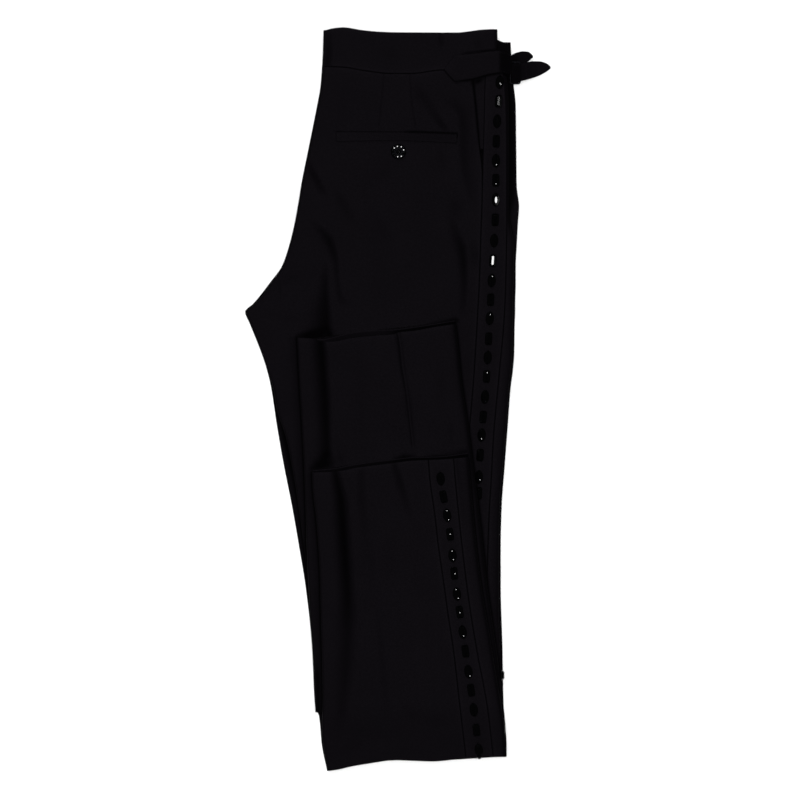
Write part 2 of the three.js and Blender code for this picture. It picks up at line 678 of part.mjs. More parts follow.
function leftStripe() {
  const level = levels.left_turnup;
  const along = (end) => crossing(stripeLine(LEFT_STRIPE, 'stones'), end).down;
  const ends = { head: along(level.head), foot: along(level.foot), folded: true };
  return stripe(level, LEFT_STRIPE, LEFT_STONES, ends);
}

function frontLeftEdge() {
  const seam = stripeLine(LEFT_STRIPE, 'right', SEAM_GAP);
  const span = { lines: [seam], parts: [[0.5, 1]], folds: 'right foot' };
  return panel(levels.left_turnup, TURNUP_DOWNS, span);
}

// ---------------------------------------------------------------- waist, straps and pocket

function waistbandRight() {
  const level = {
    edges: rows('down left right', [[0, -73, 99.6], [45, -74.4, 100]]),
    head: edge(WAIST),
    foot: (x) => edge(BAND_SEAM)(x) - SEAM_GAP,
    top: () => LEFT_HALF + TURN + 0.7,
    folds: [],
  };
  const ease = (x, down) => {
    const near = Math.min(down - level.head(x), level.foot(x) - down);
    return -0.3 * (1 - smooth(clamp(near / 1.5, 0, 1)));
  };
  const downs = [level.head(0), level.head(0) + 1.5, level.foot(0) - 1.5, level.foot(0)];
  const span = { lines: [], parts: [evenly(14)], folds: 'left right' };
  return panel(level, downs, span, { cloth: BAND_CLOTH, roll: 2.3, lift: ease });
}

// The left half's band, of which the end shows past the right one.
function waistbandLeft() {
  const level = {
    edges: rows('down left right', [[0, 100.6, 110.2], [45, 100.6, 111.2]]),
    head: () => 12.6,
    foot: () => 39.5,
    top: () => LEFT_HALF + SEAM_GAP + BAND_CLOTH,
    folds: [],
  };
  const start = () => 100.8;
  const span = { lines: [start], parts: [[0.5, 1]], folds: 'right' };
  return panel(level, [12.6, 20, 30, 39.5], span, { cloth: 1.7, roll: 1.9 });
}

// A strap from its rows: upper and lower edge, and the height of its underside.
function strap(table) {
  const grid = [0, 0.5, 1].map((t) => table.map(({ x, upper, lower, under }) => {
    const down = mix(upper, lower, t);
    return { outer: point(x, down, under + STRAP_CLOTH), inner: point(x, down, under) };
  }));
  return wall(grid);
}

function slideBuckle() {
  const { from, to, head, foot, low, thick, bar } = BUCKLE;
  const wide = to - from;
  const tall = foot - head;
  const corner = 2.2;
  const frame = new THREE.Shape();
  frame.absarc(wide - corner, corner, corner, -Math.PI / 2, 0);
  frame.absarc(wide - corner, tall - corner, corner, 0, Math.PI / 2);
  frame.absarc(corner, tall - corner, corner, Math.PI / 2, Math.PI);
  frame.absarc(corner, corner, corner, Math.PI, 1.5 * Math.PI);
  const opening = (wide - 3 * bar) / 2;
  const windows = [
    { start: bar, end: bar },
    { start: 2 * bar + opening, end: bar + 0.4 },
  ];
  for (const { start, end } of windows) {
    const hole = new THREE.Path();
    hole.moveTo(start, end);
    hole.lineTo(start, tall - end);
    hole.lineTo(start + opening, tall - end);
    hole.lineTo(start + opening, end);
    frame.holes.push(hole);
  }
  const geometry = new THREE.ExtrudeGeometry(frame, {
    depth: thick, bevelEnabled: false, curveSegments: 4,
  });
  const [x, y, z] = point(from, foot, low);
  geometry.translate(x, y, z);
  return geometry;
}

function pocketWelt() {
  const top = rows('x edge', [[WELT.from, 102], [11, 102.4], [WELT.to, 104]]);
  const bottom = rows('x edge', [[WELT.from, 111.8], [-2, 111], [WELT.to, 113.6]]);
  const grid = [0, 0.5, 1].map((t) => [0, ...evenly(12)].map((share) => {
    const x = mix(WELT.from, WELT.to, share);
    const place = { x, down: mix(edge(top)(x), edge(bottom)(x), t) };
    return node(levels.right_half, place, { cloth: WELT.cloth, lift: SEAM_GAP + WELT.cloth });
  }));
  return wall(grid);
}

// A round button: a flat base, a ring of small stones as a bead, and a domed middle stone.
function pocketButton() {
  const { x, down, radius, height: tall } = BUTTON;
  const profile = [
    [0, 0], [radius - 0.6, 0], [radius, 0.6], [radius, 1.8], [radius - 1.2, 2.9],
    [radius - 2.8, 2.9], [radius - 3.7, 2.3], [radius - 4.2, 3.3], [radius - 5.4, 4.1], [0, tall],
  ];
  const outline = profile.map(([r, z]) => new THREE.Vector2(r, z));
  const geometry = new THREE.LatheGeometry(outline, 24);
  geometry.rotateX(Math.PI / 2);
  const level = levels.right_half;
  const [px, py, pz] = point(x, down, height(level, x, down) + SEAM_GAP);
  geometry.translate(px, py, pz);
  return geometry;
}

// ---------------------------------------------------------------- the garment

const crepe = new THREE.MeshStandardMaterial({ color: 0x0e0c0f, roughness: 0.95, metalness: 0 });
const jewelled = new THREE.MeshStandardMaterial({ color: 0x0b0a0c, roughness: 0.5, metalness: 0 });
const glass = new THREE.MeshStandardMaterial({ color: 0x050506, roughness: 0.08, metalness: 0.1 });
const gunmetal = new THREE.MeshStandardMaterial({ color: 0x1a1a1c, roughness: 0.3, metalness: 1 });

const pieces = {
  hidden_layers: [hiddenLayers, crepe],
  back_right: [backRight, crepe],
  pocket_facing: [pocketFacing, crepe],
  side_stripe_right: [rightStripe, jewelled],
  front_right_edge: [frontRightEdge, crepe],
  front_right_turnup: [frontRightTurnup, crepe],
  back_left_turnup: [backLeftTurnup, crepe],
  side_stripe_left: [leftStripe, jewelled],
  front_left_edge: [frontLeftEdge, crepe],
  waistband_right: [waistbandRight, crepe],
  waistband_left: [waistbandLeft, crepe],
  side_tab: [() => strap(STRAPS.tab), crepe],
  tab_strap_right: [() => strap(STRAPS.tail), crepe],
  tab_strap_left: [() => strap(STRAPS.under_tail), crepe],
  slide_buckle: [slideBuckle, gunmetal],
  pocket_welt: [pocketWelt, crepe],
  pocket_button: [pocketButton, glass],
};

const trousers = new THREE.Group();
for (const [name, [make, material]] of Object.entries(pieces)) {
  const mesh = new THREE.Mesh(make(), material);
  mesh.name = name;
  trousers.add(mesh);
}

export default trousers;
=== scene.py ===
"""Folded straight-leg trousers in black wool crepe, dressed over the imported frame.

Sizes in the tables are millimetres: x from the creased centre line towards the side seams, down
from the top of the waistband, height above the surface that the trousers lie on.
"""

import math

import bpy
import numpy as np
from bpy.props import FloatProperty, FloatVectorProperty, IntProperty, PointerProperty
from mathutils import Euler, Matrix, Vector


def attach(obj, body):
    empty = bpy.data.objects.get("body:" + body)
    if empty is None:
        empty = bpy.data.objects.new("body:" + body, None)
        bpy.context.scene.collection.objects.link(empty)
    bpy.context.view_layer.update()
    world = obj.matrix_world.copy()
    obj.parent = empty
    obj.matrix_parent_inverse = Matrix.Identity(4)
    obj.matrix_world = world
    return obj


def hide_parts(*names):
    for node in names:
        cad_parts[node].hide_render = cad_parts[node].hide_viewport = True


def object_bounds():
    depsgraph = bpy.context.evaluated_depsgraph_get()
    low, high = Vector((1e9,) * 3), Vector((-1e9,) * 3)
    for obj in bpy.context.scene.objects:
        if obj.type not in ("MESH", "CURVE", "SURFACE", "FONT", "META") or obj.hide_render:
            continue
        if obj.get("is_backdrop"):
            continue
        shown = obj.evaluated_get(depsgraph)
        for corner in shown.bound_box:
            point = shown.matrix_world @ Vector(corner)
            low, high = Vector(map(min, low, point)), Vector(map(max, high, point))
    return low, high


bl_info = {
    "name": "Folded trousers",
    "version": (1, 0, 0),
    "blender": (4, 5, 0),
    "location": "3D View > Sidebar > Trousers",
    "description": "Cloth, stones, buckle, button and sewing of a pair of folded trousers",
    "category": "Object",
}

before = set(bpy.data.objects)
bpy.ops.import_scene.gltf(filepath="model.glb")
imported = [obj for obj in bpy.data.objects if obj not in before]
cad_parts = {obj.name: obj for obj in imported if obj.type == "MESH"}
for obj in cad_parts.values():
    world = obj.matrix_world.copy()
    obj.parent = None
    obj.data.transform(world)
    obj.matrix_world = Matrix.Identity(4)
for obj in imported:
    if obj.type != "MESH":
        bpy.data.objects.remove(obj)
CAD_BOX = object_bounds()

MM = 0.001

# ------------------------------------------------------------------ sizes and tables

# Where the tables' zero lies in the frame.
WAIST_Y = 370
CENTRE_X = 0.6
# The cloth's thickness, the gap at a seam, the radius of a folded edge, and how far an edge runs
# on under the layer that covers it.
CLOTH = 1.3
SEAM_GAP = 0.3
ROLL = 1.8
TUCK = 6
# The left half's upper face, and how much higher each layer on top of it lies.
LEFT_HALF = 3.1
TURN = 3.9
# How far down the folds at the foot are, and the lines from which the turned-up legs' sides count.
RIGHT_FOLD = 682
LEFT_FOLD_LOWEST = 740
RIGHT_TURNUP_HEAD = 300
LEFT_TURNUP_HEAD = 430
# Between these the left turn-up comes down to the surface.
TURNUP_DROP = (675, 738)
# The rows between which the right half's panels run.
PANEL_HEAD = 44
PANEL_FOOT = 680
BAND_CLOTH = 2.0
BAND_RISE = 0.7
BAND_ROLL = 2.3
LEFT_BAND_ENDS = (12.6, 39.5)
STRAP_CLOTH = 1.3
WELT = {"from": -61, "to": 60, "cloth": 1.2}
BUTTON = {"x": 1.5, "down": 122, "radius": 7.5, "height": 4.4}
BUCKLE = {"from": 112.4, "to": 123.6, "head": 31.5, "foot": 54.6, "low": 3.6, "thick": 1.8, "bar": 1.7}
OVAL = {"long": 6.6, "wide": 4.0, "rise": 3.2}
BATON = {"long": 6.0, "wide": 3.4, "rise": 2.6}


def rows(names, values):
    """A table with named columns."""
    data = np.array(values, float)
    return {name: data[:, i] for i, name in enumerate(names.split())}


LEFT_HALF_EDGES = rows("down left right", [
    (4, -73, 98), (11.4, -73.4, 98.6), (12.6, -73.5, 112), (24, -74.2, 114.2), (37, -75, 114.4),
    (56, -76.5, 116.7), (76, -80, 118.7), (116, -88, 119.2), (156, -96, 119.7), (176, -99, 122),
    (196, -103, 120.7), (216, -108, 119.7), (236, -115, 118.7), (252, -126.5, 118.7),
    (274, -144, 118.2), (281.5, -152, 118.2), (293, -147.5, 117.7), (324, -135, 117.2),
    (342, -129.5, 115.7), (357, -126, 113.7), (396, -120, 110.7), (436, -113, 107.7),
    (476, -105, 104.7), (516, -98, 103.7), (556, -91.5, 103.7), (616, -85, 105.4),
    (676, -82, 106.6), (686, -78, 107.6), (716, -75, 109.6), (740, -70, 109.6),
])
RIGHT_HALF_EDGES = rows("down left right", [
    (4, -73, 100), (40, -74.5, 100.2), (46, -75, 108.8), (56, -76, 110.5), (76, -79.5, 111.6),
    (116, -87.5, 112), (156, -95.5, 112), (187, -101, 112), (200, -103.5, 114.5), (216, -107.5, 117),
    (236, -114.5, 116.5), (252, -125, 116.5), (258, -129, 116), (274, -142, 116),
    (281.5, -151, 116), (293, -147, 115.5), (324, -135, 115), (342, -129, 113.5),
    (357, -124, 111.8), (379, -120, 110.3), (411, -110, 107.7), (436, -105, 105.7),
    (466, -100, 103), (525, -92, 101.6), (570, -87.5, 101.6), (620, -84, 103), (682, -80.5, 105),
])
RIGHT_TURNUP_EDGES = rows("down left right", [
    (290, -100.6, 58), (315, -99.5, 61), (346, -98, 64), (402, -94.6, 72), (434, -93, 76),
    (474, -91.5, 81.2), (518, -90.2, 86.2), (566, -87.8, 91.6), (588, -86.5, 94.8),
    (620, -84.3, 99.4), (650, -82.6, 103), (682, -81.5, 104.5),
])
LEFT_TURNUP_EDGES = rows("down left right", [
    (423, -85, 71), (455, -84.3, 74), (486, -81, 76.5), (516, -78.6, 79.5), (545, -77, 83),
    (569, -76.4, 86.5), (596, -75.8, 91.2), (631, -74.8, 96.8), (668, -74.2, 102.8),
    (700, -75, 107.4), (725, -72, 109), (740, -69.5, 109.3),
])
WAIST = rows("x edge under", [
    (-74, 2, 5), (-71, 0.6, 5), (-63, -1.4, 5), (-54, -2.2, 5), (-45, -1.2, 5), (-36, 0.4, 5),
    (-17, 2.2, 6), (0, 2.8, 6), (60, 3, 6), (72, 1.8, 5), (84, 0.2, 5), (97, -0.4, 6), (101, 0.6, 6),
])
BAND_SEAM = rows("x edge", [
    (-74, 37), (-54, 37.6), (-33, 41), (-6, 44), (14, 44), (46, 40.5), (104, 41),
])
RIGHT_HEM = rows("x edge under", [
    (-100, 307.4, 308.6), (-83, 308.6, 309.4), (-75, 311.4, 309.4), (-63, 311.2, 307),
    (-45, 307.8, 302.6), (-19, 305.2, 300), (-3, 304, 299.6), (3, 302, 299), (18, 300.5, 297),
    (37, 297, 294), (57, 294, 290.6),
])
LEFT_HEM = rows("x edge under", [
    (-84, 442, 440), (-65, 441.4, 438.5), (-37, 436.8, 433.4), (-2, 432.4, 429),
    (16, 430.2, 427), (40, 429.3, 426.5), (70, 427, 423),
])
LEFT_FOLD = rows("x edge", [
    (-72, 741), (-60, 739.4), (-48, 736.6), (-36, 733.9), (-24, 731.7), (-12, 730.4), (0, 729.8),
    (14, 730.3), (36, 731), (48, 730.2), (60, 728.6), (75, 727.2), (109, 726.4),
])
POCKET_MOUTH = rows("down x", [(40, 74.5), (76, 78.5), (116, 82.2), (141, 85), (152, 85.2)])
RIGHT_STRIPE = rows("down left right stones", [
    (46, 88.4, 106, 103.2), (52, 88, 107, 102.6), (71, 87.4, 108.4, 101.6), (92, 87, 109.2, 100),
    (121, 86.2, 109.5, 98.9), (170, 85.2, 109.5, 98.7), (204, 84, 109.4, 97.4),
    (250, 82.5, 108.6, 94.6), (288, 80.5, 107, 92.6), (346, 77, 101.8, 89.5), (411, 71.4, 96, 84),
    (450, 68.5, 94, 81.6), (486, 66, 91.8, 81), (556, 62, 89.6, 78),
])
LEFT_STRIPE = rows("down left right stones", [
    (423, 31, 56, 42), (449, 33, 58, 43.6), (485, 38, 61.5, 50), (512, 41, 64.4, 54),
    (551, 46.6, 69, 58), (583, 51, 73.5, 62.8), (620, 56.6, 79.6, 68.2), (676, 63, 90, 76.2),
    (722, 68.5, 95.6, 82), (740, 70.5, 98, 84),
])
RIGHT_STONES = {"first": 53, "pitch": 19.6, "count": 22}
LEFT_STONES = {"first": 448.3, "pitch": 19.2, "count": 15}
MOUTH_LIFT = 0.5
MOUTH_END = 152
CREASE_RISE = 0.7
PRESSED_CREASE = rows("down x", [(295, 0), (312, 3), (337, 6), (362, 10), (415, 16), (455, 21)])
SEAT_TUCK = rows("down x", [(36, -46), (120, -54), (200, -72), (250, -92), (300, -94.5)])
LEFT_DART = rows("down x", [(44, -13), (77, -16), (101, -18.7)])
RIGHT_DART = rows("down x", [(44, 13), (70, 14.5), (90, 17.3), (101, 19.5)])
WELT_TOP = rows("x edge", [(-61, 102), (11, 102.4), (60, 104)])
WELT_FOOT = rows("x edge", [(-61, 111.8), (-2, 111), (60, 113.6)])

# How far each stone sits down from even spacing, because they are sewn on by hand.
RIGHT_SHIFTS = (-.5, -1.1, -.6, -.2, -.4, -.5, -.6, -.2, 1, 1.4, 1.6, 1.2, .3, 1, .1, -.5, .4, .8,
                -.8, -.4, 2, -1.5)
LEFT_SHIFTS = (.2, -1, -1.6, -2, 0, -1.3, 0, -1.2, -.4, -.6, .7, 0, .3, 1.2, 2)


def fold(values, steep=1.0, ridge=0.0):
    """A soft trough along a path: a row for each point, with its half width and depth there.

    steep is how narrow its right side is against its left, and ridge is how high the cloth stands
    beside that side, against the depth.
    """
    return {**rows("x down half depth", values), "steep": steep, "ridge": ridge}


SEAT_FOLDS = [
    fold([(-90, 131, 2.4, 0.5), (-83, 145, 2.8, 1.0), (-75, 160, 3, 0.8), (-68, 169, 3, 0.1)]),
    fold([(-85, 193, 3, 0.2), (-75, 201, 4, 0.9), (-68, 210, 5, 1.3), (-64, 220, 4.2, 1.2),
          (-61, 232, 2.6, 0.9), (-59.5, 250, 2, 0.8), (-57.4, 266, 2.2, 0.8), (-53, 273, 4, 0.5),
          (-44, 274, 5, 0.1)], steep=0.7, ridge=0.15),
    fold([(-71, 228, 2, 0.1), (-71, 250, 4.4, 1.0), (-70.6, 270, 8.5, 1.35),
          (-70, 290, 14, 1.5), (-70, 312, 20, 1.6)], steep=0.24),
    fold([(-99, 307, 2.4, 0.9), (-86, 305.6, 4.6, 1.8), (-71, 305, 5.6, 1.8)]),
    fold([(54, 190, 4, 0.1), (60, 205, 6, 0.8), (65, 217, 5.6, 1.3), (67, 232, 4.6, 1.3),
          (67.6, 255, 3.8, 1.0), (66.5, 275, 3.4, 0.6), (65, 288, 4, 0.1)], steep=0.5, ridge=0.2),
    fold([(20, 52, 5, 0.1), (27, 66, 6, 0.4), (36, 82, 4, 0.6), (45, 95, 2.8, 0.9),
          (51, 102, 2.6, 0.5)]),
    fold([(47, 70, 2.5, 0.1), (58, 75, 3, 0.55), (65, 84, 3, 0.75), (66, 100, 3, 0.8),
          (66, 120, 3, 0.8), (67.5, 140, 3, 0.75), (72, 160, 3, 0.5), (77, 180, 3, 0.1)],
         steep=2.4),
    fold([(1, 305.4, 2.2, 0.8), (20, 301.4, 2.8, 1.5), (45, 295.4, 3.2, 1.7), (59, 291, 2.6, 1.5)]),
    fold([(101, 620, 2, 0.3), (103.5, 645, 3, 1.6), (105, 682, 3, 1.6)]),
]
SEAT_CREASES = [
    fold([(-64, 158, 4, 0.1), (-56, 170, 5, 0.6), (-49, 185, 6, 0.5), (-40, 195, 5, 0.1)]),
    fold([(56, 158, 6, 0.1), (58, 178, 8, 0.5), (56, 195, 6, 0.2)]),
    fold([(76, 211, 3, 0.1), (79, 226, 3.4, 0.6), (82, 241, 3, 0.1)]),
    fold([(-20, 190, 5, 0.1), (-12, 206, 6, 0.3), (-7, 220, 5, 0.1)]),
    fold([(43, 114, 5, 0.1), (44.5, 126, 5, 0.4), (45, 148, 6, 0.1)]),
    fold([(-130, 262, 4, .2), (-106, 248, 5, .3), (-84, 241, 5, .1)]),
    fold([(-130, 284, 4, .2), (-110, 289, 5, .3), (-90, 287, 5, .1)]),
    fold([(-118, 252, 1, .3), (-117, 262, 1.2, .4), (-115.5, 271, 1, .2)]),
    fold([(-30, 160, 9, .1), (-22, 205, 11, .22), (-18, 262, 11, .1)]),
    fold([(24, 158, 8, .1), (30, 205, 10, .18), (28, 268, 9, .1)]),
    fold([(-52, 58, 6, .1), (-56, 92, 7, .18), (-60, 120, 6, .1)]),
    fold([(17, 56, 6, .1), (22, 66, 6, .35), (30, 74, 5, .1)]),
    fold([(-8, 132, 5, .15), (-12, 144, 6, .3), (-26, 152, 6, .1)]),
]
RIGHT_TURNUP_FOLDS = [
    fold([(-75.5, 308, 8.4, 1.8), (-74.4, 322, 8.6, 1.75), (-71, 370, 8.4, 1.65),
          (-69.6, 410, 8.4, 1.5), (-69.2, 424, 8.4, 1.45)], steep=0.36, ridge=0.12),
    fold([(-81, 622, 1.6, 0.2), (-79, 646, 2.8, 1.6), (-78.4, 682, 3, 1.7)]),
    fold([(97.6, 600, 1.6, 0.3), (100.5, 622, 2.6, 1.5), (103, 650, 3, 1.7)]),
    fold([(-85, 438.5, 2.6, 1.2), (-78, 435.6, 6, 1.8), (-70, 432, 7.6, 1.8)]),
    fold([(-1, 430, 2.4, 0.9), (7.6, 428.6, 3.8, 1.8), (16, 427.6, 3, 0.9)]),
    fold([(30, 427, 2, 0.4), (52, 425, 2.2, 0.6), (62, 423.5, 3, 1.0), (69, 422, 3, 1.0)]),
]
RIGHT_TURNUP_CREASES = [
    fold([(-2.4, 298, 2.2, .8), (0.6, 312, 1.6, .8), (3.6, 337, 1.1, .7), (8, 362, 1, .6),
          (14.2, 415, .9, .5)], steep=.6),
    fold([(-40, 312, 8, .1), (-36, 360, 9, .25), (-34, 430, 9, .15)]),
    fold([(44, 330, 4, .1), (44, 360, 5, .3), (43, 385, 4, .1)]),
    fold([(53, 388, 2.5, .1), (54, 402, 3, .4), (54.5, 418, 2.5, .1)]),
    fold([(-24, 304, 4, .3), (-22, 318, 4, .1)]),
    fold([(-56, 418, 3, .1), (-56, 428, 4, .5), (-52, 437, 3, .3)]),
]
LEFT_TURNUP_FOLDS = [
    fold([(-61.5, 440, 3.8, 1.5), (-55.4, 470, 6.6, 1.8), (-52, 520, 7.6, 1.8),
          (-49, 566, 8.2, 1.5), (-49, 600, 9.5, 1.05), (-51, 640, 9.5, 0.85), (-54.5, 676, 7, 0.7),
          (-58, 708, 5, 0.2)], steep=0.7, ridge=0.15),
]
LEFT_TURNUP_CREASES = [
    fold([(-36, 442, 3, .6), (-35, 470, 3.6, .6), (-32, 500, 4, .4), (-29, 530, 4, .1)]),
    fold([(-2, 434, 3, .9), (4, 455, 4, .9), (10, 475, 3.6, .5), (15, 493, 3, .1)], steep=0.7),
    fold([(59.8, 430, 1.8, .7), (61.8, 450, 1.8, .6), (64.8, 480, 1.6, .4), (68, 515, 1.6, .1)]),
    fold([(-20, 570, 2, .1), (-17, 600, 2.2, .35), (-14, 635, 2.6, .4), (-11, 672, 3, .3),
          (-10, 694, 3, .05)]),
    fold([(-27, 512, 4, .1), (-26, 540, 4, .3), (-27, 562, 4, .1)]),
    fold([(-5, 500, 5, .1), (-7, 530, 6, .25), (-10, 560, 5, .1)]),
    fold([(22, 520, 5, .05), (30, 600, 6, .15), (40, 690, 6, .1)]),
    fold([(0, 668, 5, .1), (16, 686, 8, .35), (44, 694, 8, .2), (60, 694, 6, .05)]),
    fold([(-44, 700, 6, .1), (-20, 706, 8, .25), (12, 704, 7, .1)]),
]
BAND_FOLDS = [
    fold([(44, 3, 1.8, .7), (44.2, 12, 2, .7), (44.4, 21, 2, .1)]),
    fold([(-69, 4, 3, .5), (-68.5, 20, 3.6, .9), (-69.5, 37, 3.6, 1.1)]),
    fold([(79, 6, 3.5, .1), (81, 13, 4, .5), (84, 20, 4, .2)]),
    fold([(-30, 14, 9, .1), (-6, 24, 10, .3), (4, 33, 8, .1)]),
    fold([(66, 24.4, 1.2, .7), (82, 22.6, 1.3, 1.1), (98, 21.4, 1.5, 1.2)]),
]
LEFT_HALF_FOLDS = [
    fold([(106, 14, 9, 1.5), (110, 40, 8, 1.7), (113, 90, 7, 1.7), (114, 140, 7, 1.7),
          (114, 168, 5, 1.5), (112, 186, 3, 0.9), (115, 215, 2, 0.3)]),
    fold([(-120, 372, 2.4, 1.2), (-114, 398, 3.4, 1.7), (-107, 430, 4, 1.8), (-102.5, 452, 3, 1.6),
          (-97, 488, 3, 1.0), (-91, 540, 2, 0.6), (-86, 610, 2, 0.5)]),
    fold([(103, 600, 3, 0.3), (105, 640, 4, 1.2), (107, 700, 3, 0.6)]),
]
UNDER_CREASES = [
    fold([(-130, 268, 6, .2), (-98, 250, 8, .5), (-66, 246, 6, .2)]),
    fold([(-84, 190, 6, .2), (-62, 216, 8, .5), (-55, 270, 7, .2)]),
    fold([(20, 62, 6, .2), (36, 86, 8, .4), (44, 118, 6, .2)]),
    fold([(-70, 420, 8, .2), (-62, 500, 10, .45), (-60, 600, 9, .2)]),
    fold([(30, 300, 8, .15), (36, 400, 11, .4), (34, 520, 9, .2)]),
    fold([(60, 560, 6, .2), (52, 620, 9, .45), (56, 690, 7, .2)]),
]

STRAPS = {
    "tab": rows("x upper lower under", [
        (47.2, 39.4, 40.8, 8), (57.5, 26, 52, 8), (75, 24.4, 49.5, 8), (92, 22, 44.8, 8),
        (102, 21, 43.2, 8), (107, 22, 43.6, 7.2), (111, 24.5, 44.4, 5.8), (115, 26.5, 45, 5.75),
    ]),
    "tail": rows("x upper lower under", [
        (114.6, 34, 53.4, 5.75), (120, 33.8, 53.2, 5.75), (124, 33.6, 51.5, 5.75),
        (129, 32.6, 50.2, 4.4), (136, 31.4, 48, 2.4), (142, 31.4, 45.8, 1.2), (147, 32.4, 43.2, 0.9),
        (150.8, 34.2, 40.8, 0.7), (153.6, 36.8, 38.4, 0.6),
    ]),
    "under_tail": rows("x upper lower under", [
        (114.4, 25.4, 33.6, 1.9), (117, 23.8, 34.8, 1.8), (120, 22.6, 34.8, 1.5),
        (126, 21.4, 33.4, 1.0), (131, 21.8, 31.6, 0.7), (134.4, 24, 28.8, 0.5), (136, 26, 27.4, 0.5),
    ]),
}

# ------------------------------------------------------------------ curves and heights


def mix(a, b, t):
    return a + (b - a) * t


def span(value, start, end):
    """0 up to start, 1 from end, and a smooth way between."""
    return smooth(np.clip((value - start) / (end - start), 0, 1))


def smooth(t):
    return t * t * (3 - 2 * t)


def area_under(heights, xs):
    return ((heights[1:] + heights[:-1]) / 2 * np.diff(xs)).sum()


def read(table, key, name, at):
    """A curve through a table's rows that never overshoots them."""
    xs, ys = table[key], table[name]
    at = np.clip(at, xs[0], xs[-1])
    slopes = np.diff(ys) / np.diff(xs)
    tangents = np.zeros_like(ys)
    tangents[0], tangents[-1] = slopes[0], slopes[-1]
    same_way = slopes[:-1] * slopes[1:] > 0
    total = np.where(same_way, slopes[:-1] + slopes[1:], 1)
    tangents[1:-1] = np.where(same_way, 2 * slopes[:-1] * slopes[1:] / total, 0)
    i = np.clip(np.searchsorted(xs, at, side="left") - 1, 0, len(xs) - 2)
    run = xs[i + 1] - xs[i]
    t = (at - xs[i]) / run
    start = ys[i] * (1 + 2 * t) + tangents[i] * run * t
    end = ys[i + 1] * (3 - 2 * t) - tangents[i + 1] * run * (1 - t)
    return start * (1 - t) ** 2 + end * t ** 2


def fold_depth(folds, x, down):
    """How deep the troughs are at each place."""
    total = np.zeros(np.broadcast(x, down).shape)
    for path in folds:
        deepest = np.zeros_like(total)
        for i in range(len(path["x"]) - 1):
            ax, ad, bx, bd = path["x"][i], path["down"][i], path["x"][i + 1], path["down"][i + 1]
            run_x, run_d = bx - ax, bd - ad
            t = np.clip(((x - ax) * run_x + (down - ad) * run_d) / (run_x ** 2 + run_d ** 2), 0, 1)
            away = np.hypot(x - ax - run_x * t, down - ad - run_d * t)
            right = (x - ax) * run_d - (down - ad) * run_x > 0
            half = mix(path["half"][i], path["half"][i + 1], t) * np.where(right, path["steep"], 1)
            strength = mix(path["depth"][i], path["depth"][i + 1], t)
            trough = strength * np.exp(-((away / half) ** 2))
            crest = np.exp(-((away / half - 2.4) ** 2)) * right * path["ridge"] * strength
            better = abs(trough - crest) > abs(deepest)
            deepest = np.where(better, trough - crest, deepest)
        total += deepest
    return total


def groove(line, x, down, width, depth, foot):
    """A sewn line: a narrow groove that fades out at its foot."""
    shown = np.clip((foot - down) / 6, 0, 1)
    return depth * shown * np.exp(-(((x - line(down)) / width) ** 2))


# Length across, length down, start and height of the slow waves that any laid cloth has.
WAVES = ((61, 173, 0.4, .10), (-43, 97, 1.7, .08), (29, -71, 2.9, .05), (17, 39, 4.1, .028),
         (-13, 23, 5.3, .018))


def ripple(x, down):
    """The slight unevenness of cloth that lies flat."""
    return sum(
        high * np.sin(2 * math.pi * (x / wide + down / tall) + start)
        for wide, tall, start, high in WAVES
    )


def edge(table, name="edge"):
    return lambda x: read(table, "x", name, x)


def falling_top(down):
    start, end = TURNUP_DROP
    t = np.clip((down - start) / (end - start), 0, 1)
    return LEFT_HALF + mix(3, 1.3, mix(t, smooth(t), 0.6)) * TURN


def flat_top(layers):
    return lambda down: LEFT_HALF + layers * TURN + 0 * down
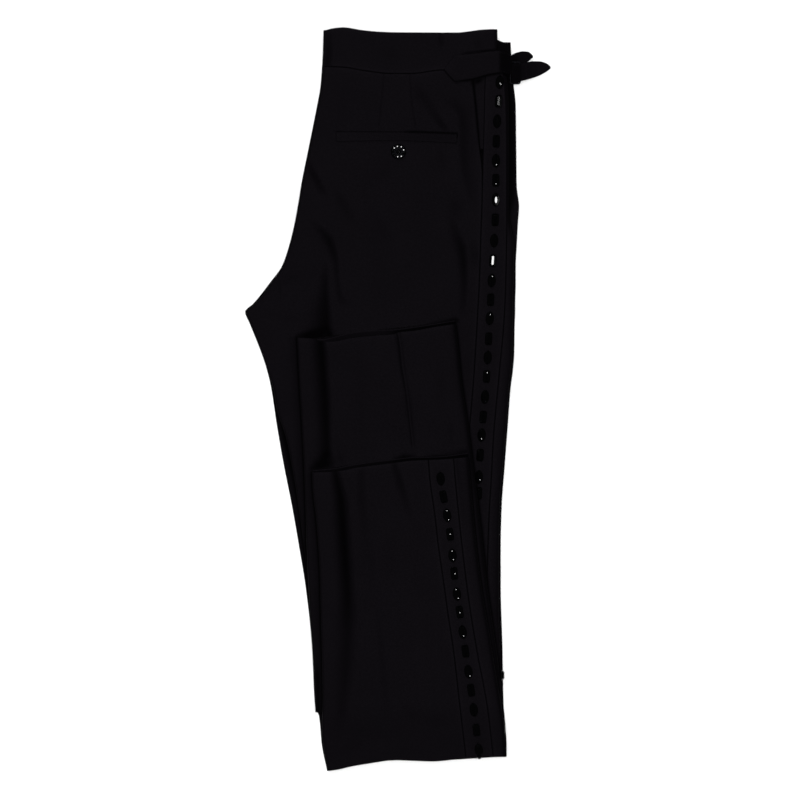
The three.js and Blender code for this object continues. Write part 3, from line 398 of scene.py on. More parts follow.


# In each level, shade gives the strength and width of painted shade along its folded sides, and cover
# names the layer above, whose painted shadow falls beside its edges, with how far it reaches to the
# left and right.
LEVELS = {
    "left_half": {
        "edges": LEFT_HALF_EDGES, "head": edge(WAIST, "under"), "foot": edge(LEFT_FOLD),
        "top": flat_top(0), "folds": LEFT_HALF_FOLDS, "cover": ("right_half", 1.2, 1.0),
    },
    "right_half": {
        "edges": RIGHT_HALF_EDGES, "head": edge(BAND_SEAM), "under": edge(WAIST, "under"),
        "foot": lambda x: RIGHT_FOLD - 2 + 0 * x, "top": flat_top(1),
        "folds": SEAT_FOLDS + SEAT_CREASES,
        "shade": {"left": (0.35, 0.8), "right": (lambda down: mix(1, .5, span(down, 175, 215)), 2.6)},
        "cover": ("right_turnup", 1.4, 1.9),
    },
    "right_turnup": {
        "edges": RIGHT_TURNUP_EDGES, "head": edge(RIGHT_HEM), "under": edge(RIGHT_HEM, "under"),
        "foot": lambda x: RIGHT_FOLD + 0 * x, "top": flat_top(2),
        "folds": RIGHT_TURNUP_FOLDS + RIGHT_TURNUP_CREASES,
        "shade": {"left": (0.3, 0.5), "right": (1.0, 1.8)}, "cover": ("left_turnup", 1.4, 1.5),
    },
    "left_turnup": {
        "edges": LEFT_TURNUP_EDGES, "head": edge(LEFT_HEM), "under": edge(LEFT_HEM, "under"),
        "foot": edge(LEFT_FOLD), "top": falling_top,
        "folds": LEFT_TURNUP_FOLDS + LEFT_TURNUP_CREASES,
        "shade": {"left": (0.3, 0.5), "right": (1.0, 1.5)},
    },
    "band": {
        "edges": rows("down left right", [(0, -73.4, 100.3), (45, -74.6, 100.3)]),
        "head": edge(WAIST), "foot": lambda x: edge(BAND_SEAM)(x) - SEAM_GAP,
        "top": lambda down: LEFT_HALF + TURN + BAND_RISE + 0 * down,
        "folds": BAND_FOLDS, "shade": {"right": (0.7, 1.0)},
    },
    "left_band": {
        "edges": rows("down left right", [
            (0, 100.6, 113.2), (24, 100.6, 113.8), (30, 100.6, 112), (45, 100.6, 111.2),
        ]),
        "head": lambda x: LEFT_BAND_ENDS[0] + 0 * x, "foot": lambda x: LEFT_BAND_ENDS[1] + 0 * x,
        "top": lambda down: LEFT_HALF + SEAM_GAP + BAND_CLOTH + 0 * down, "folds": [],
    },
}


# A trough this deep gets the full painted shade.
FULL_PAINTED_SHADE_DEPTH = 1.75


def side(level, name, down):
    return read(level["edges"], "down", name, down)


def hollow_at(level, x, down):
    """How much painted shade a place gets, from 0 to 1: in folds and beside the layer covering it."""
    dark = np.clip(fold_depth(level["folds"], x, down) / FULL_PAINTED_SHADE_DEPTH, 0, 1) ** 1.5
    # Painted shadow of the covering layer: dark right beside its edges, with a fainter, wider painted
    # shade to the left.
    if "cover" in level:
        name, left_reach, right_reach = level["cover"]
        cover = LEVELS[name]
        left = np.maximum(side(cover, "left", down) - x - 0.5, 0)
        right = np.maximum(x - side(cover, "right", down) + 0.2, 0)
        head = cover["head"](x)
        close = np.maximum(left / left_reach, right / right_reach)
        shade = np.maximum(np.exp(-close ** 2), 0.3 * np.exp(-((left + 9 * (right > 0)) / 6) ** 2))
        foot = RIGHT_FOLD if name != "left_turnup" else LEFT_FOLD_LOWEST
        dark = np.maximum(dark, shade * span(down, head - 1, head + 1) * (down < foot + 1))
    return dark


def height(level, x, down):
    """The cloth's upper face."""
    return level["top"](down) - fold_depth(level["folds"], x, down) + ripple(x, down)


def place(x, down, z):
    """A point of the frame, in metres, from a table's x, down and height."""
    x, down, z = np.broadcast_arrays(x - CENTRE_X, WAIST_Y - np.asarray(down, float), z)
    return np.stack([x, down, z], axis=-1) * MM


def row_down(level, x, nominal, head=None):
    """How far down a row lies at x: rows follow the head and the foot of their level."""
    head = head or level["head"]
    share = (nominal - head(0.0)) / (level["foot"](0.0) - head(0.0))
    return mix(head(x), level["foot"](x), share)


def crossing(line, row_at):
    """Where a line that runs down crosses each row."""
    down = row_at(np.float64(0))
    for _ in range(5):
        down = row_at(line(down))
    return line(down), down


# ------------------------------------------------------------------ meshes


def new_object(name, mesh):
    thing = bpy.data.objects.new(name, mesh)
    bpy.context.scene.collection.objects.link(thing)
    return thing


def mesh_of(name, points, faces, sharp=40):
    """A mesh with its faces turned outwards and its hard edges marked."""
    mesh = bpy.data.meshes.new(name)
    mesh.from_pydata(points, [], faces)
    mesh.validate()
    mesh.update()
    mesh.calc_loop_triangles()
    corners = np.empty(len(mesh.loop_triangles) * 3, np.int32)
    mesh.loop_triangles.foreach_get("vertices", corners)
    co = np.empty(len(mesh.vertices) * 3)
    mesh.vertices.foreach_get("co", co)
    a, b, c = co.reshape(-1, 3)[corners.reshape(-1, 3)].transpose(1, 0, 2)
    if (a * np.cross(b, c)).sum() < 0:
        mesh.flip_normals()
    mesh.polygons.foreach_set("use_smooth", [True] * len(mesh.polygons))
    mesh.set_sharp_from_angle(angle=math.radians(sharp))
    return mesh


def add_map(mesh, name, u, v):
    """A UV map that follows the cloth's grain, in metres."""
    corner = np.empty(len(mesh.loops), np.int32)
    mesh.loops.foreach_get("vertex_index", corner)
    layer = mesh.uv_layers.new(name=name)
    layer.data.foreach_set("uv", (np.stack([u, v], axis=1)[corner] * MM).ravel())


def add_mask(mesh, name, values):
    mesh.attributes.new(name, "FLOAT", "POINT").data.foreach_set("value", values)


def shell(name, outer, inner, kept, grain, masks):
    """A closed thin shell from grids of points on its two faces, with some cells left out."""
    high, wide = outer.shape[:2]
    count = high * wide
    i, j = np.nonzero(kept)
    a = i * wide + j
    quads = np.stack([a, a + wide, a + wide + 1, a + 1], axis=1)
    starts, ends = quads.ravel(), np.roll(quads, -1, axis=1).ravel()
    rim = ~np.isin(starts * count + ends, ends * count + starts)
    p, q = starts[rim], ends[rim]
    faces = np.concatenate([
        quads, quads[:, ::-1] + count, np.stack([q, p, p + count, q + count], axis=1),
    ])
    used, faces = np.unique(faces, return_inverse=True)
    faces = faces.reshape(-1, 4)
    points = np.concatenate([outer.reshape(-1, 3), inner.reshape(-1, 3)])[used]
    mesh = mesh_of(name, points.tolist(), faces.tolist())

    def doubled(values):
        return np.concatenate([values.ravel(), values.ravel()])[used]

    add_map(mesh, "grain", doubled(grain[0]), doubled(grain[1]))
    for mask in masks:
        add_mask(mesh, mask, doubled(masks[mask]))
    return new_object(name, mesh)


# ------------------------------------------------------------------ panels of cloth

# The distance between rows, the offsets of the rows beside an eased edge, its radius, and the
# steps of a folded edge.
PITCH = 2.0
EASED = (0, .12, .35, .65, 1.0)
ROUND = 0.9
TURNS = np.radians([15, 30, 45, 60, 75, 90])


def rounding(away, radius=ROUND):
    """How far the upper face comes down at a raw or seamed edge."""
    inset = np.clip(radius - np.maximum(away, 0), 0, radius)
    return radius - np.sqrt(radius ** 2 - inset ** 2)


def moved(line, offset):
    return lambda down: line(down) + offset


def mirrored(offsets):
    return tuple(-x for x in offsets[::-1])


def below_head(level):
    """How far a place is from the edge at a level's head."""
    return lambda x, down: down - level["head"](x)


# The offsets of the columns beside a covering layer's edge, and how far they keep from a fold.
BESIDE = (-2.6, -1.8, -1.1, -.5, .2, .8)
BESIDE_FOLD = 2.9


def edge_above(name, which, near, far):
    """The edge of the layer above, kept between two lines: the columns beside it follow it."""
    def line(down):
        head = RIGHT_TURNUP_HEAD if name == "right_turnup" else LEFT_TURNUP_HEAD
        at = side(LEVELS[name], which, np.maximum(down, head))
        return np.minimum(np.maximum(at, near(down)), far(down))

    return line


def shared(line, other, share):
    return lambda down: mix(line(down), other(down), share)


def columns_of(stops, reach, pitch=PITCH):
    """Columns from line to line, with extra ones at the offsets given beside each line."""
    downs = np.linspace(*reach, 24)
    columns, starts = [], []
    for k, (line, offsets) in enumerate(stops):
        starts.append(len(columns))
        columns += [moved(line, offset) for offset in offsets]
        if k + 1 < len(stops):
            near, far = moved(line, offsets[-1]), moved(stops[k + 1][0], stops[k + 1][1][0])
            count = max(1, round(float(np.max(far(downs) - near(downs))) / pitch))
            columns += [shared(near, far, n / count) for n in range(1, count)]
    return columns, starts


def panel(name, level, head, foot, stops, options):
    """A panel of cloth.

    stops are the lines that its columns follow. In options, folds names the sides with a folded
    edge, keep() says which cells are there, seams gives how far a place is from each eased edge,
    which is rounded and gets a painted highlight, lift raises both faces, dip lowers the upper face,
    shade says where its colour gets painted shade, and grain gives the cloth's own lengths.
    """
    folds, roll = options.get("folds", ""), options.get("roll", ROLL)
    cloth, pitch = options.get("cloth", CLOTH), options.get("pitch", PITCH)
    if "left" in folds:
        stops = [(lambda down: side(level, "left", down) + roll, (0,)), *stops]
    if "right" in folds:
        stops = [*stops, (lambda down: side(level, "right", down) - roll, (0,))]
    lines, starts = columns_of(stops, (head, foot), pitch)
    across = np.zeros(len(lines))
    if "left" in folds:
        lines = [lines[0]] * len(TURNS) + lines
        across = np.concatenate([-TURNS[::-1], across])
        starts = [0, *[start + len(TURNS) for start in starts[1:]]]
    if "right" in folds:
        lines += [lines[-1]] * len(TURNS)
        across = np.concatenate([across, TURNS])
    rows_down = np.arange(head, foot, pitch)
    finer = [np.arange(start, end, 0.8) for start, end in options.get("finer", ())]
    rows_down = np.unique(np.concatenate([head + np.array(EASED), rows_down, *finer, [foot]]))
    if "foot" not in folds and options.get("ease_foot"):
        rows_down = np.unique(np.concatenate([rows_down, foot - np.array(EASED)]))
    along = np.zeros(len(rows_down))
    if "foot" in folds:
        rows_down = rows_down[rows_down <= foot - roll]
        rows_down = np.concatenate([rows_down, [foot - roll] * (len(TURNS) + 1)])
        along = np.concatenate([np.zeros(len(rows_down) - len(TURNS)), TURNS])
    x, down = np.empty((2, len(rows_down), len(lines)))
    for j, line in enumerate(lines):
        x[:, j], down[:, j] = crossing(line, lambda at: row_down(level, at, rows_down))
    lift = options.get("lift", lambda x, down: 0)(x, down)
    top = height(level, x, down) + lift
    turned = np.cos(across)[None, :] * np.cos(along)[:, None]

    def at(radius):
        return place(
            x + radius * np.sin(across)[None, :], down + radius * np.sin(along)[:, None],
            top - roll + radius * turned,
        )

    outer, inner = at(roll), at(roll - cloth)
    flat_share = np.where(turned > 0.99, 1, 0)
    # Near each eased edge the colour gets a painted highlight and the cloth is smoother.
    pressed = 0 * turned
    for away_from in options.get("seams", ()):
        away = away_from(x, down)
        outer[..., 2] -= rounding(away) * MM * flat_share
        pressed = np.maximum(pressed, np.exp(-np.maximum(away, 0) / 2))
    if "dip" in options:
        outer[..., 2] -= options["dip"](x, down) * MM * flat_share
    kept = np.ones((len(rows_down) - 1, len(lines) - 1), bool)
    if "keep" in options:
        middle = rows_down[1:, None] + 0 * across[None, 1:]
        column = np.arange(len(lines) - 1)[None, :] + 0 * rows_down[1:, None].astype(int)
        kept = options["keep"](middle, column, starts)
    centre = options.get("grain", lambda down: 0 * down)
    grain = (x - centre(down) + roll * across[None, :], down + roll * along[:, None])
    hollow = hollow_at(level, x, down)
    # Painted shade along the folded sides that the level shades, strongest at the edge.
    for which, sign in (("left", 1), ("right", -1)):
        if which in folds and which in level.get("shade", {}):
            strength, width = level["shade"][which]
            inset = np.maximum(sign * (x - side(level, which, down)) - roll * 0.6, 0)
            strength = strength(down) if callable(strength) else strength
            hollow = np.maximum(hollow, strength * np.exp(-inset / width))
    if "shade" in options:
        hollow = np.maximum(hollow, options["shade"](x, down))
    piece = shell(name, outer, inner, kept, grain, {"pressed": pressed, "hollow": hollow})
    spread = place(grain[0], grain[1], 0 * x)
    sides = spread[1:, 1:, :2] - spread[:-1, :-1, :2], spread[1:, :-1, :2] - spread[:-1, 1:, :2]
    cells = abs(sides[0][..., 0] * sides[1][..., 1] - sides[0][..., 1] * sides[1][..., 0]) / 2
    shown = np.nonzero(kept)
    piece["cut_area"] = float(cells[shown].sum())
    piece["cut_size"] = [
        float((grain[0].max(axis=1) - grain[0].min(axis=1)).max()) * MM,
        float(grain[1].max() - grain[1].min()) * MM,
    ]
    return piece


def held(piece):
    """Gives a piece its body."""
    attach(piece, "root")
    return piece


def finish_piece(piece, material, node):
    """Gives a piece its finish, its material slot and its body, and hides the node it stands for."""
    piece.data.materials.clear()
    piece.data.materials.append(material)
    held(piece)
    if node:
        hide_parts(node)
    return piece


def declare_cloth(piece):
    """Works out the cut of what shows of a panel, but keeps none of it."""
    wide, long = (max(size, 0.0101) for size in piece["cut_size"])
    area = min(piece["cut_area"], wide * long)
    long = min(long, area / 0.31 / wide)


def stripe_line(table, name, offset=0.0):
    return lambda down: read(table, "down", name, down) + offset


def turnup_tuck(down):
    return side(LEVELS["right_turnup"], "right", np.maximum(down, RIGHT_TURNUP_HEAD)) - TUCK


def pocket_mouth(down):
    seam = stripe_line(RIGHT_STRIPE, "left", -SEAM_GAP)(down)
    return np.where(down < MOUTH_END, np.minimum(read(POCKET_MOUTH, "down", "x", down), seam), seam)


def mouth_shade(x, down):
    """Painted shade in the pocket's mouth, widest below the tab, and at the welt's open upper edge."""
    wide = mix(2.6, 1.2, span(down, 48, 62)) * mix(1, 0.55, span(down, 96, 124))
    away = abs(x - pocket_mouth(down) - 0.1) / wide
    under_tab = np.exp(-(((x - 81) / 4.5) ** 2) - ((down - 51.5 + (x - 81) * 0.35) / 2.2) ** 2)
    mouth = np.exp(-away ** 2) * (1 - span(down, 116, 168))
    above_welt = np.maximum(edge(WELT_TOP)(x) - down, 0) / mix(0.5, 1.3, span(x, 4, 14))
    welt = np.exp(-above_welt ** 2) * (abs(x) < 60.5) * (down < 108) * mix(.6, 1, span(x, 4, 14))
    return np.maximum.reduce([mouth, under_tab, welt, tab_shade(x, down)])


def tab_shade(x, down):
    """A painted shadow: a dark line painted just below the tab's lower edge."""
    tab = STRAPS["tab"]
    below = np.maximum(down - np.interp(x, tab["x"], tab["lower"]), 0)
    strong = mix(0.6, 1, span(x, 58, 72)) * span(x, tab["x"][0] - 1, tab["x"][0] + 1)
    return strong * np.exp(-(below / mix(1.0, 1.5, span(x, 60, 80))) ** 2) * (down < 60)


def build_back_right():
    level = LEVELS["right_half"]
    open_seat, strip_end = 314, 418

    def left_tuck(down):
        turned = side(LEVELS["right_turnup"], "left", down) + TUCK
        return np.where(down < RIGHT_TURNUP_HEAD, read(SEAT_TUCK, "down", "x", down), turned)

    def right_tuck(down):
        return np.minimum(turnup_tuck(down), pocket_mouth(down) - 2)

    def dart(table):
        return lambda down: read(table, "down", "x", down)

    def keep(down, column, starts):
        left_strip, right_strip = column < starts[2], column >= starts[5]
        return (down <= open_seat) | left_strip | (right_strip & (down <= strip_end))

    def lift(x, down):
        ajar = np.clip((MOUTH_END - down) / 30, 0, 1)
        return MOUTH_LIFT * ajar * np.exp(-(((x - pocket_mouth(down)) / 5) ** 2))

    def turnup_left(down):
        folded = side(level, "left", down) + ROLL + BESIDE_FOLD
        at = side(LEVELS["right_turnup"], "left", down)
        beside = np.minimum(np.maximum(at, folded), at + 5)
        return np.where(down < RIGHT_TURNUP_HEAD, left_tuck(down) - TUCK, beside)

    def turnup_right(down):
        return np.minimum(turnup_tuck(down) + TUCK, pocket_mouth(down) - 5)

    beside = (-1.5, -.8, -.35, 0, .35, .8, 1.5)
    stops = [
        (turnup_left, BESIDE), (left_tuck, (0,)), (dart(LEFT_DART), beside),
        (dart(RIGHT_DART), beside),
        (lambda down: np.minimum(right_tuck(down), turnup_right(down) - 3), (0,)),
        (turnup_right, mirrored(BESIDE)), (pocket_mouth, mirrored(EASED)),
    ]
    options = {
        "folds": "left", "keep": keep, "lift": lift, "finer": ((44, 55), (97, 107)),
        "seams": (lambda x, down: pocket_mouth(down) - x, below_head(level)),
        "dip": lambda x, down: sum(
            groove(dart(table), x, down, 0.5, 0.28, 101) for table in (LEFT_DART, RIGHT_DART)
        ),
        "shade": mouth_shade,
    }
    return panel("back_right_cloth", level, PANEL_HEAD, PANEL_FOOT, stops, options)


def build_pocket_facing():
    mouth, seam = moved(pocket_mouth, SEAM_GAP), stripe_line(RIGHT_STRIPE, "left", -SEAM_GAP)
    stops = [(mouth, (0,)), (seam, (0,))]
    options = {"pitch": 0.8, "shade": mouth_shade}
    return panel("pocket_facing_cloth", LEVELS["right_half"], 48, 122, stops, options)


def build_front_right_edge():
    def inner(down):
        return np.maximum(stripe_line(RIGHT_STRIPE, "right", SEAM_GAP)(down), turnup_tuck(down))

    def outside(down):
        return side(LEVELS["right_half"], "right", down) - ROLL - 3.2

    beside_edge = edge_above("right_turnup", "right", moved(inner, 1.6), outside)
    stops = [(inner, EASED[:3]), (beside_edge, (-.8, -.2, .5, 1.1, 1.8, 2.6))]
    options = {"folds": "right", "seams": (lambda x, down: x - inner(down),), "pitch": 1.6}
    return panel("front_right_edge_cloth", LEVELS["right_half"], 49, PANEL_FOOT, stops, options)


def build_front_right_turnup():
    level, cover = LEVELS["right_turnup"], LEVELS["left_turnup"]
    covered = 448

    def crease(down):
        return read(PRESSED_CREASE, "down", "x", down)

    def left_tuck(down):
        return np.where(down < covered, -78.8, side(cover, "left", down) + TUCK)

    def right_tuck(down):
        return np.minimum(
            side(cover, "right", np.maximum(down, LEFT_TURNUP_HEAD)) - TUCK,
            side(level, "right", down) - ROLL - 2,
        )

    def keep(down, column, starts):
        return (down <= covered) | (column < starts[2]) | (column >= starts[4])

    def lift(x, down):
        shown = np.clip((425 - down) / 12, 0, 1)
        return CREASE_RISE * shown * np.exp(-(((x - crease(down)) / 2) ** 2))

    def cover_left(down):
        folded = side(level, "left", down) + ROLL + BESIDE_FOLD
        return np.minimum(np.maximum(side(cover, "left", down), folded), left_tuck(down) - 1)

    def cover_right(down):
        return np.minimum(
            side(cover, "right", np.maximum(down, LEFT_TURNUP_HEAD)),
            side(level, "right", down) - ROLL - BESIDE_FOLD,
        )

    stops = [
        (cover_left, BESIDE), (left_tuck, (0,)),
        (crease, (-2.4, -1.6, -1, -.5, 0, .5, 1, 1.6, 2.4)),
        (lambda down: np.minimum(right_tuck(down), cover_right(down) - 3), (0,)),
        (cover_right, mirrored(BESIDE)),
    ]
    options = {
        "folds": "left right foot", "keep": keep, "lift": lift,
        "seams": (below_head(level),), "grain": crease,
    }
    return panel("front_right_turnup_cloth", level, level["head"](0.0), RIGHT_FOLD, stops, options)


def build_left_turnup(name, which):
    """The panel of the left leg's turn-up that lies to one side of its stripe."""
    level, sign = LEVELS["left_turnup"], -1 if which == "left" else 1
    seam = stripe_line(LEFT_STRIPE, which, sign * SEAM_GAP)
    options = {
        "folds": f"{which} foot",
        "seams": (lambda x, down: sign * (x - seam(down)), below_head(level)),
    }
    stops = [(seam, EASED if sign > 0 else mirrored(EASED))]
    return panel(name, level, level["head"](0.0), level["foot"](0.0), stops, options)


def build_stripe(name, level, table, head, foot, covered=None, folds=""):
    def left(down):
        seam = stripe_line(table, "left")(down)
        return np.maximum(seam, covered(down) - TUCK) if covered else seam

    right = stripe_line(table, "right")
    middle = stripe_line(table, "stones")
    options = {
        "folds": folds, "grain": middle, "pitch": 1.6,
        "seams": (lambda x, down: x - left(down), lambda x, down: right(down) - x,
                  lambda x, down: down - head - (level["head"](x) - level["head"](0.0))),
        "dip": lambda x, down: stone_pull(table, x, down),
    }
    stops = [(left, EASED), (right, mirrored(EASED))]
    if covered:
        above = edge_above("right_turnup", "right", moved(left, 3), moved(right, -5))
        stops.insert(1, (above, mirrored(BESIDE)))
        options["shade"], options["finer"] = tab_shade, ((46, 52),)
    return panel(name, level, head, foot, stops, options)


def stone_pull(table, x, down):
    """The cloth is drawn down a little round each stone."""
    stones = RIGHT_STONES if table is RIGHT_STRIPE else LEFT_STONES
    shifts = RIGHT_SHIFTS if table is RIGHT_STRIPE else LEFT_SHIFTS
    total = 0 * x
    for centre_x, centre_down, cut in stone_places(table, stones, shifts):
        away = np.hypot((x - centre_x) / cut["wide"], (down - centre_down) / cut["long"])
        total = total + 0.25 * np.exp(-(((away - 1) / 0.35) ** 2))
    return total


def stone_places(table, stones, shifts):
    """Where each stone is, and its cut: ovals and batons take turns."""
    for k in range(stones["count"]):
        down = stones["first"] + k * stones["pitch"] + shifts[k]
        yield float(read(table, "down", "stones", down)), down, (OVAL, BATON)[k % 2]


def right_turnup_side(down):
    return np.where(down > 400, side(LEVELS["right_turnup"], "right", down), -1e3)


# ------------------------------------------------------------------ the hidden layers

# Insets and depths of the pairs of hidden layers below the cloth on top of them.
LIP = {"high": 2.1, "middle": 3.2, "nose": 0.2, "flat": 4, "slope": 9}


def lip(inset, low, high, steps=6, bulge=0.75):
    """A rounded edge of a layer of cloth, from its underside to its upper side."""
    angles = np.linspace(-math.pi / 2, math.pi / 2, steps + 1)
    middle, half = (low + high) / 2, (high - low) / 2
    return [(inset + bulge * (1 - math.cos(a)), middle + half * math.sin(a)) for a in angles]


def layer_solid(name, level, nominals, profile, masks, under=None, head=None):
    """Closed layers: each row has the profile at its two sides, inset and height by a rule."""
    head = head or level.get("under", level["head"])
    nominals = np.asarray(nominals, float)

    def side_points(which):
        sign = 1 if which == "left" else -1
        found = []
        for inset, rule in profile:
            def line(down, inset=inset):
                return side(level, which, down) + sign * inset
            x, down = crossing(line, lambda at: row_down(level, at, nominals, head))
            found.append((x, down, rule(down)))
        return found

    right, left = side_points("right"), side_points("left")
    across = []
    for n in range(1, 32):
        x = mix(right[-1][0], left[-1][0], n / 32)
        down = row_down(level, x, nominals, head)
        across.append((x, down, profile[-1][1](down)))
    ring = [*right, *across, *left[::-1]]
    below = []
    count = 64 if under else 32
    for n in range(1, count):
        x = mix(left[0][0], right[0][0], n / count)
        down = row_down(level, x, nominals, head)
        below.append((x, down, under(x, down) if under else profile[0][1](down)))
    ring = [*ring, *below]
    x, down, z = (np.stack([item[k] for item in ring], axis=1) for k in range(3))
    points = place(x, down, z)
    high, wide = points.shape[:2]
    a = (np.arange(high - 1)[:, None] * wide + np.arange(wide)[None, :]).ravel()
    b = (np.arange(high - 1)[:, None] * wide + (np.arange(wide) + 1)[None, :] % wide).ravel()
    faces = np.stack([a, b, b + wide, a + wide], axis=1).tolist()
    faces.append(list(range(wide))[::-1])
    faces.append([(high - 1) * wide + k for k in range(wide)])
    mesh = mesh_of(name, points.reshape(-1, 3).tolist(), faces)
    add_map(mesh, "grain", x.ravel(), down.ravel())
    for mask, rule in zip(("pressed", "hollow"), masks):
        add_mask(mesh, mask, rule(x, down, z).ravel())
    return new_object(name, mesh)


def lips_of(depths, fall):
    """The edge of a pair of hidden layers, as depths below the cloth on top of them."""
    return [(inset, lambda down, depth=depth: fall(down) - depth) for inset, depth in depths]


def build_hidden_layers():
    half, right, left = LEVELS["right_half"], LEVELS["right_turnup"], LEVELS["left_turnup"]
    whole = LEVELS["left_half"]

    def even(head, foot, pitch=3.0):
        return np.linspace(head, foot, max(2, round((foot - head) / pitch)))

    def underside(x, down):
        slow = 0.12 + 0.5 * ripple(x, down)
        seams = sum(
            groove(stripe_line(RIGHT_STRIPE, name), x, down, 0.9, 0.4, 560)
            for name in ("left", "right")
        )
        return np.maximum(slow, 0) + fold_depth(UNDER_CREASES, x, down) + seams

    profile = [
        (0.8, 0.05), *lip(0.05, 0.06, 1.5, bulge=.8)[1:], (1.1, 1.6),
        *lip(0.1, 1.7, 3.1, bulge=.8)[:-1],
        *((inset, 3.1) for inset in (1.2, 2.4, 3.6, 5, 6.5, 8, 10, 13, 17)),
    ]
    flat = [(inset, lambda down, z=z: z + 0 * down) for inset, z in profile]

    def plain(x, down, z):
        return 0 * x

    # Painted shade in the left half's folds and beside the layer that covers it.
    def painted_fold_shade(x, down, z):
        return hollow_at(whole, x, down) * (z > LEFT_HALF - 2)

    # Painted shade over all of the right half's hidden layers.
    def painted_shade_all_over(x, down, z):
        return 0 * x + 0.8

    pieces = [layer_solid(
        "left_half_layers", whole, even(whole["head"](0.0), whole["foot"](0.0)), flat,
        (plain, painted_fold_shade), under=underside, head=whole["head"],
    )]
    two_lips = [
        (1.5, 3.66), *[(i, d) for i, d in lip(.2, 3.62, 2.92, 5, .5)], (1.0, 2.86),
        *[(i, d) for i, d in lip(.2, 2.8, 2.1, 5, .5)], (LIP["flat"], LIP["high"]),
        (LIP["slope"], LIP["middle"]),
    ]
    base = [(1.4, lambda down: LEFT_HALF - 0.3 + 0 * down)]
    pieces.append(layer_solid(
        "right_half_layers", half, even(half["under"](0.0), half["foot"](0.0) - LIP["nose"]),
        base + lips_of(two_lips[1:], half["top"]), (plain, painted_shade_all_over),
    ))
    for name, level, faint in (
        ("right_turnup_layers", right, 0.3), ("left_turnup_layers", left, 0.6),
    ):
        start, end = level["under"](0.0), level["foot"](0.0) - LIP["nose"] * 2
        nominals = [*(start + np.array([0, .25, .6, .9, 1.3, 2])), *even(start + 4, end)]

        # A painted highlight at each turn-up layer's hem edge.
        def hem_painted_highlight(x, down, z, level=level):
            return np.exp(-(down - level["under"](x)) / 0.5)

        # Painted shade on the turn-up layers from a millimetre past the hem edge, fainter towards the
        # left.
        def painted_gap_shade(x, down, z, level=level, faint=faint):
            return span(down - level["under"](x), 0.6, 1.3) * mix(faint, 1, span(x, -12, 4))

        pieces.append(layer_solid(name, level, nominals, lips_of(two_lips, level["top"]), (hem_painted_highlight, painted_gap_shade)))
    return pieces


# ------------------------------------------------------------------ straps, welt and buckle


STITCH_INSET = 1.7


def strap_crown(share):
    """How far a strap's middle stands above its edges."""
    return 0.18 * (1 - (2 * share - 1) ** 2)


def strap_ripple(x, down):
    return 0.5 * ripple(x * 2, down * 2)


def cut_of_strip(piece, widths, xs):
    """Notes a strip's area and size laid flat."""
    piece["cut_area"] = float(area_under(widths, xs)) * MM * MM
    piece["cut_size"] = [float(widths.max()) * MM, float(xs[-1] - xs[0]) * MM]
    return piece


def build_strap(name, table, shade, smooth_edges=True):
    """A made strap: two layers turned out, rounded at its edges, from its rows."""
    xs = np.arange(table["x"][0], table["x"][-1], 0.8)
    xs = np.unique(np.concatenate([xs, table["x"], [table["x"][0] + .2, table["x"][-1] - .2]]))

    def at(key):
        return read(table, "x", key, xs) if smooth_edges else np.interp(xs, table["x"], table[key])

    upper, lower, under = at("upper")[:, None], at("lower")[:, None], at("under")[:, None]
    shares = np.array([0, .01, .03, .06, .1, .2, .3, .4, .5, .6, .7, .8, .9, .94, .97, .99, 1])
    down = mix(upper, lower, shares[None, :])
    x = xs[:, None] + 0 * down
    away = np.minimum(down - upper, lower - down)
    tip = np.minimum(x - xs[0], xs[-1] - x)
    away = np.minimum(away, tip * 0.6 + 0.02)
    crown, soft = strap_crown(shares[None, :]), strap_ripple(x, down)
    stitched = 0.22 * np.exp(-(((away - STITCH_INSET) / 0.5) ** 2))
    outer = place(x, down, under + STRAP_CLOTH + crown + soft - rounding(away, 0.8) - stitched)
    inner = place(x, down, under + soft + rounding(away, 0.3))
    kept = np.ones((len(xs) - 1, len(shares) - 1), bool)
    # A painted highlight along the strap's edges, and painted shade: shade(x) along its length and a
    # painted shadow line along its lower edge.
    pressed = np.exp(-np.maximum(away, 0) / 1.5)
    piece = shell(name, outer, inner, kept, (x, down), {
        "pressed": pressed, "hollow": np.maximum(shade(x), 0.9 * np.exp(-(lower - down) / 0.8)),
    })
    return cut_of_strip(piece, (lower - upper)[:, 0], xs)


def build_welt():
    """The welt: a narrow folded strip whose upper edge stands a little off the pocket's mouth."""
    level = LEVELS["right_half"]
    xs = np.unique(np.concatenate([
        np.linspace(WELT["from"], WELT["to"], 90), WELT["from"] + np.array(EASED),
        WELT["to"] - np.array(EASED),
    ]))
    shares = np.array([0, .012, .035, .065, .1, .2, .32, .45, .58, .7, .8, .9, .935, .965, .988, 1])
    head, foot = edge(WELT_TOP)(xs)[:, None], edge(WELT_FOOT)(xs)[:, None]
    down = mix(head, foot, shares[None, :])
    x = xs[:, None] + 0 * down
    away = np.minimum(np.minimum(down - head, foot - down), np.minimum(x - xs[0], xs[-1] - x))
    base = height(level, x, down) + SEAM_GAP
    padded = 0.12 * np.sin(math.pi * shares[None, :])
    seam = 0.3 * np.exp(-(((foot - down - 1.1) / 0.4) ** 2))
    outer = place(x, down, base + WELT["cloth"] + padded - rounding(away) - seam)
    inner = place(x, down, base)
    kept = np.ones((len(xs) - 1, len(shares) - 1), bool)
    # A painted highlight along the welt's edges, and painted shade: a little darker towards its right
    # end and a painted shadow along its upper edge.
    piece = shell("pocket_welt_cloth", outer, inner, kept, (x, down), {
        "pressed": np.exp(-away / 1.5), "hollow": np.maximum(
            mix(0.02, 0.14, span(x, -30, 50)),
            mix(0.6, 1, span(x, 4, 14)) * np.exp(-(((down - head) / mix(0.6, 1, span(x, 4, 14))) ** 2)),
        ),
    })
    return cut_of_strip(piece, (foot - head)[:, 0], xs)


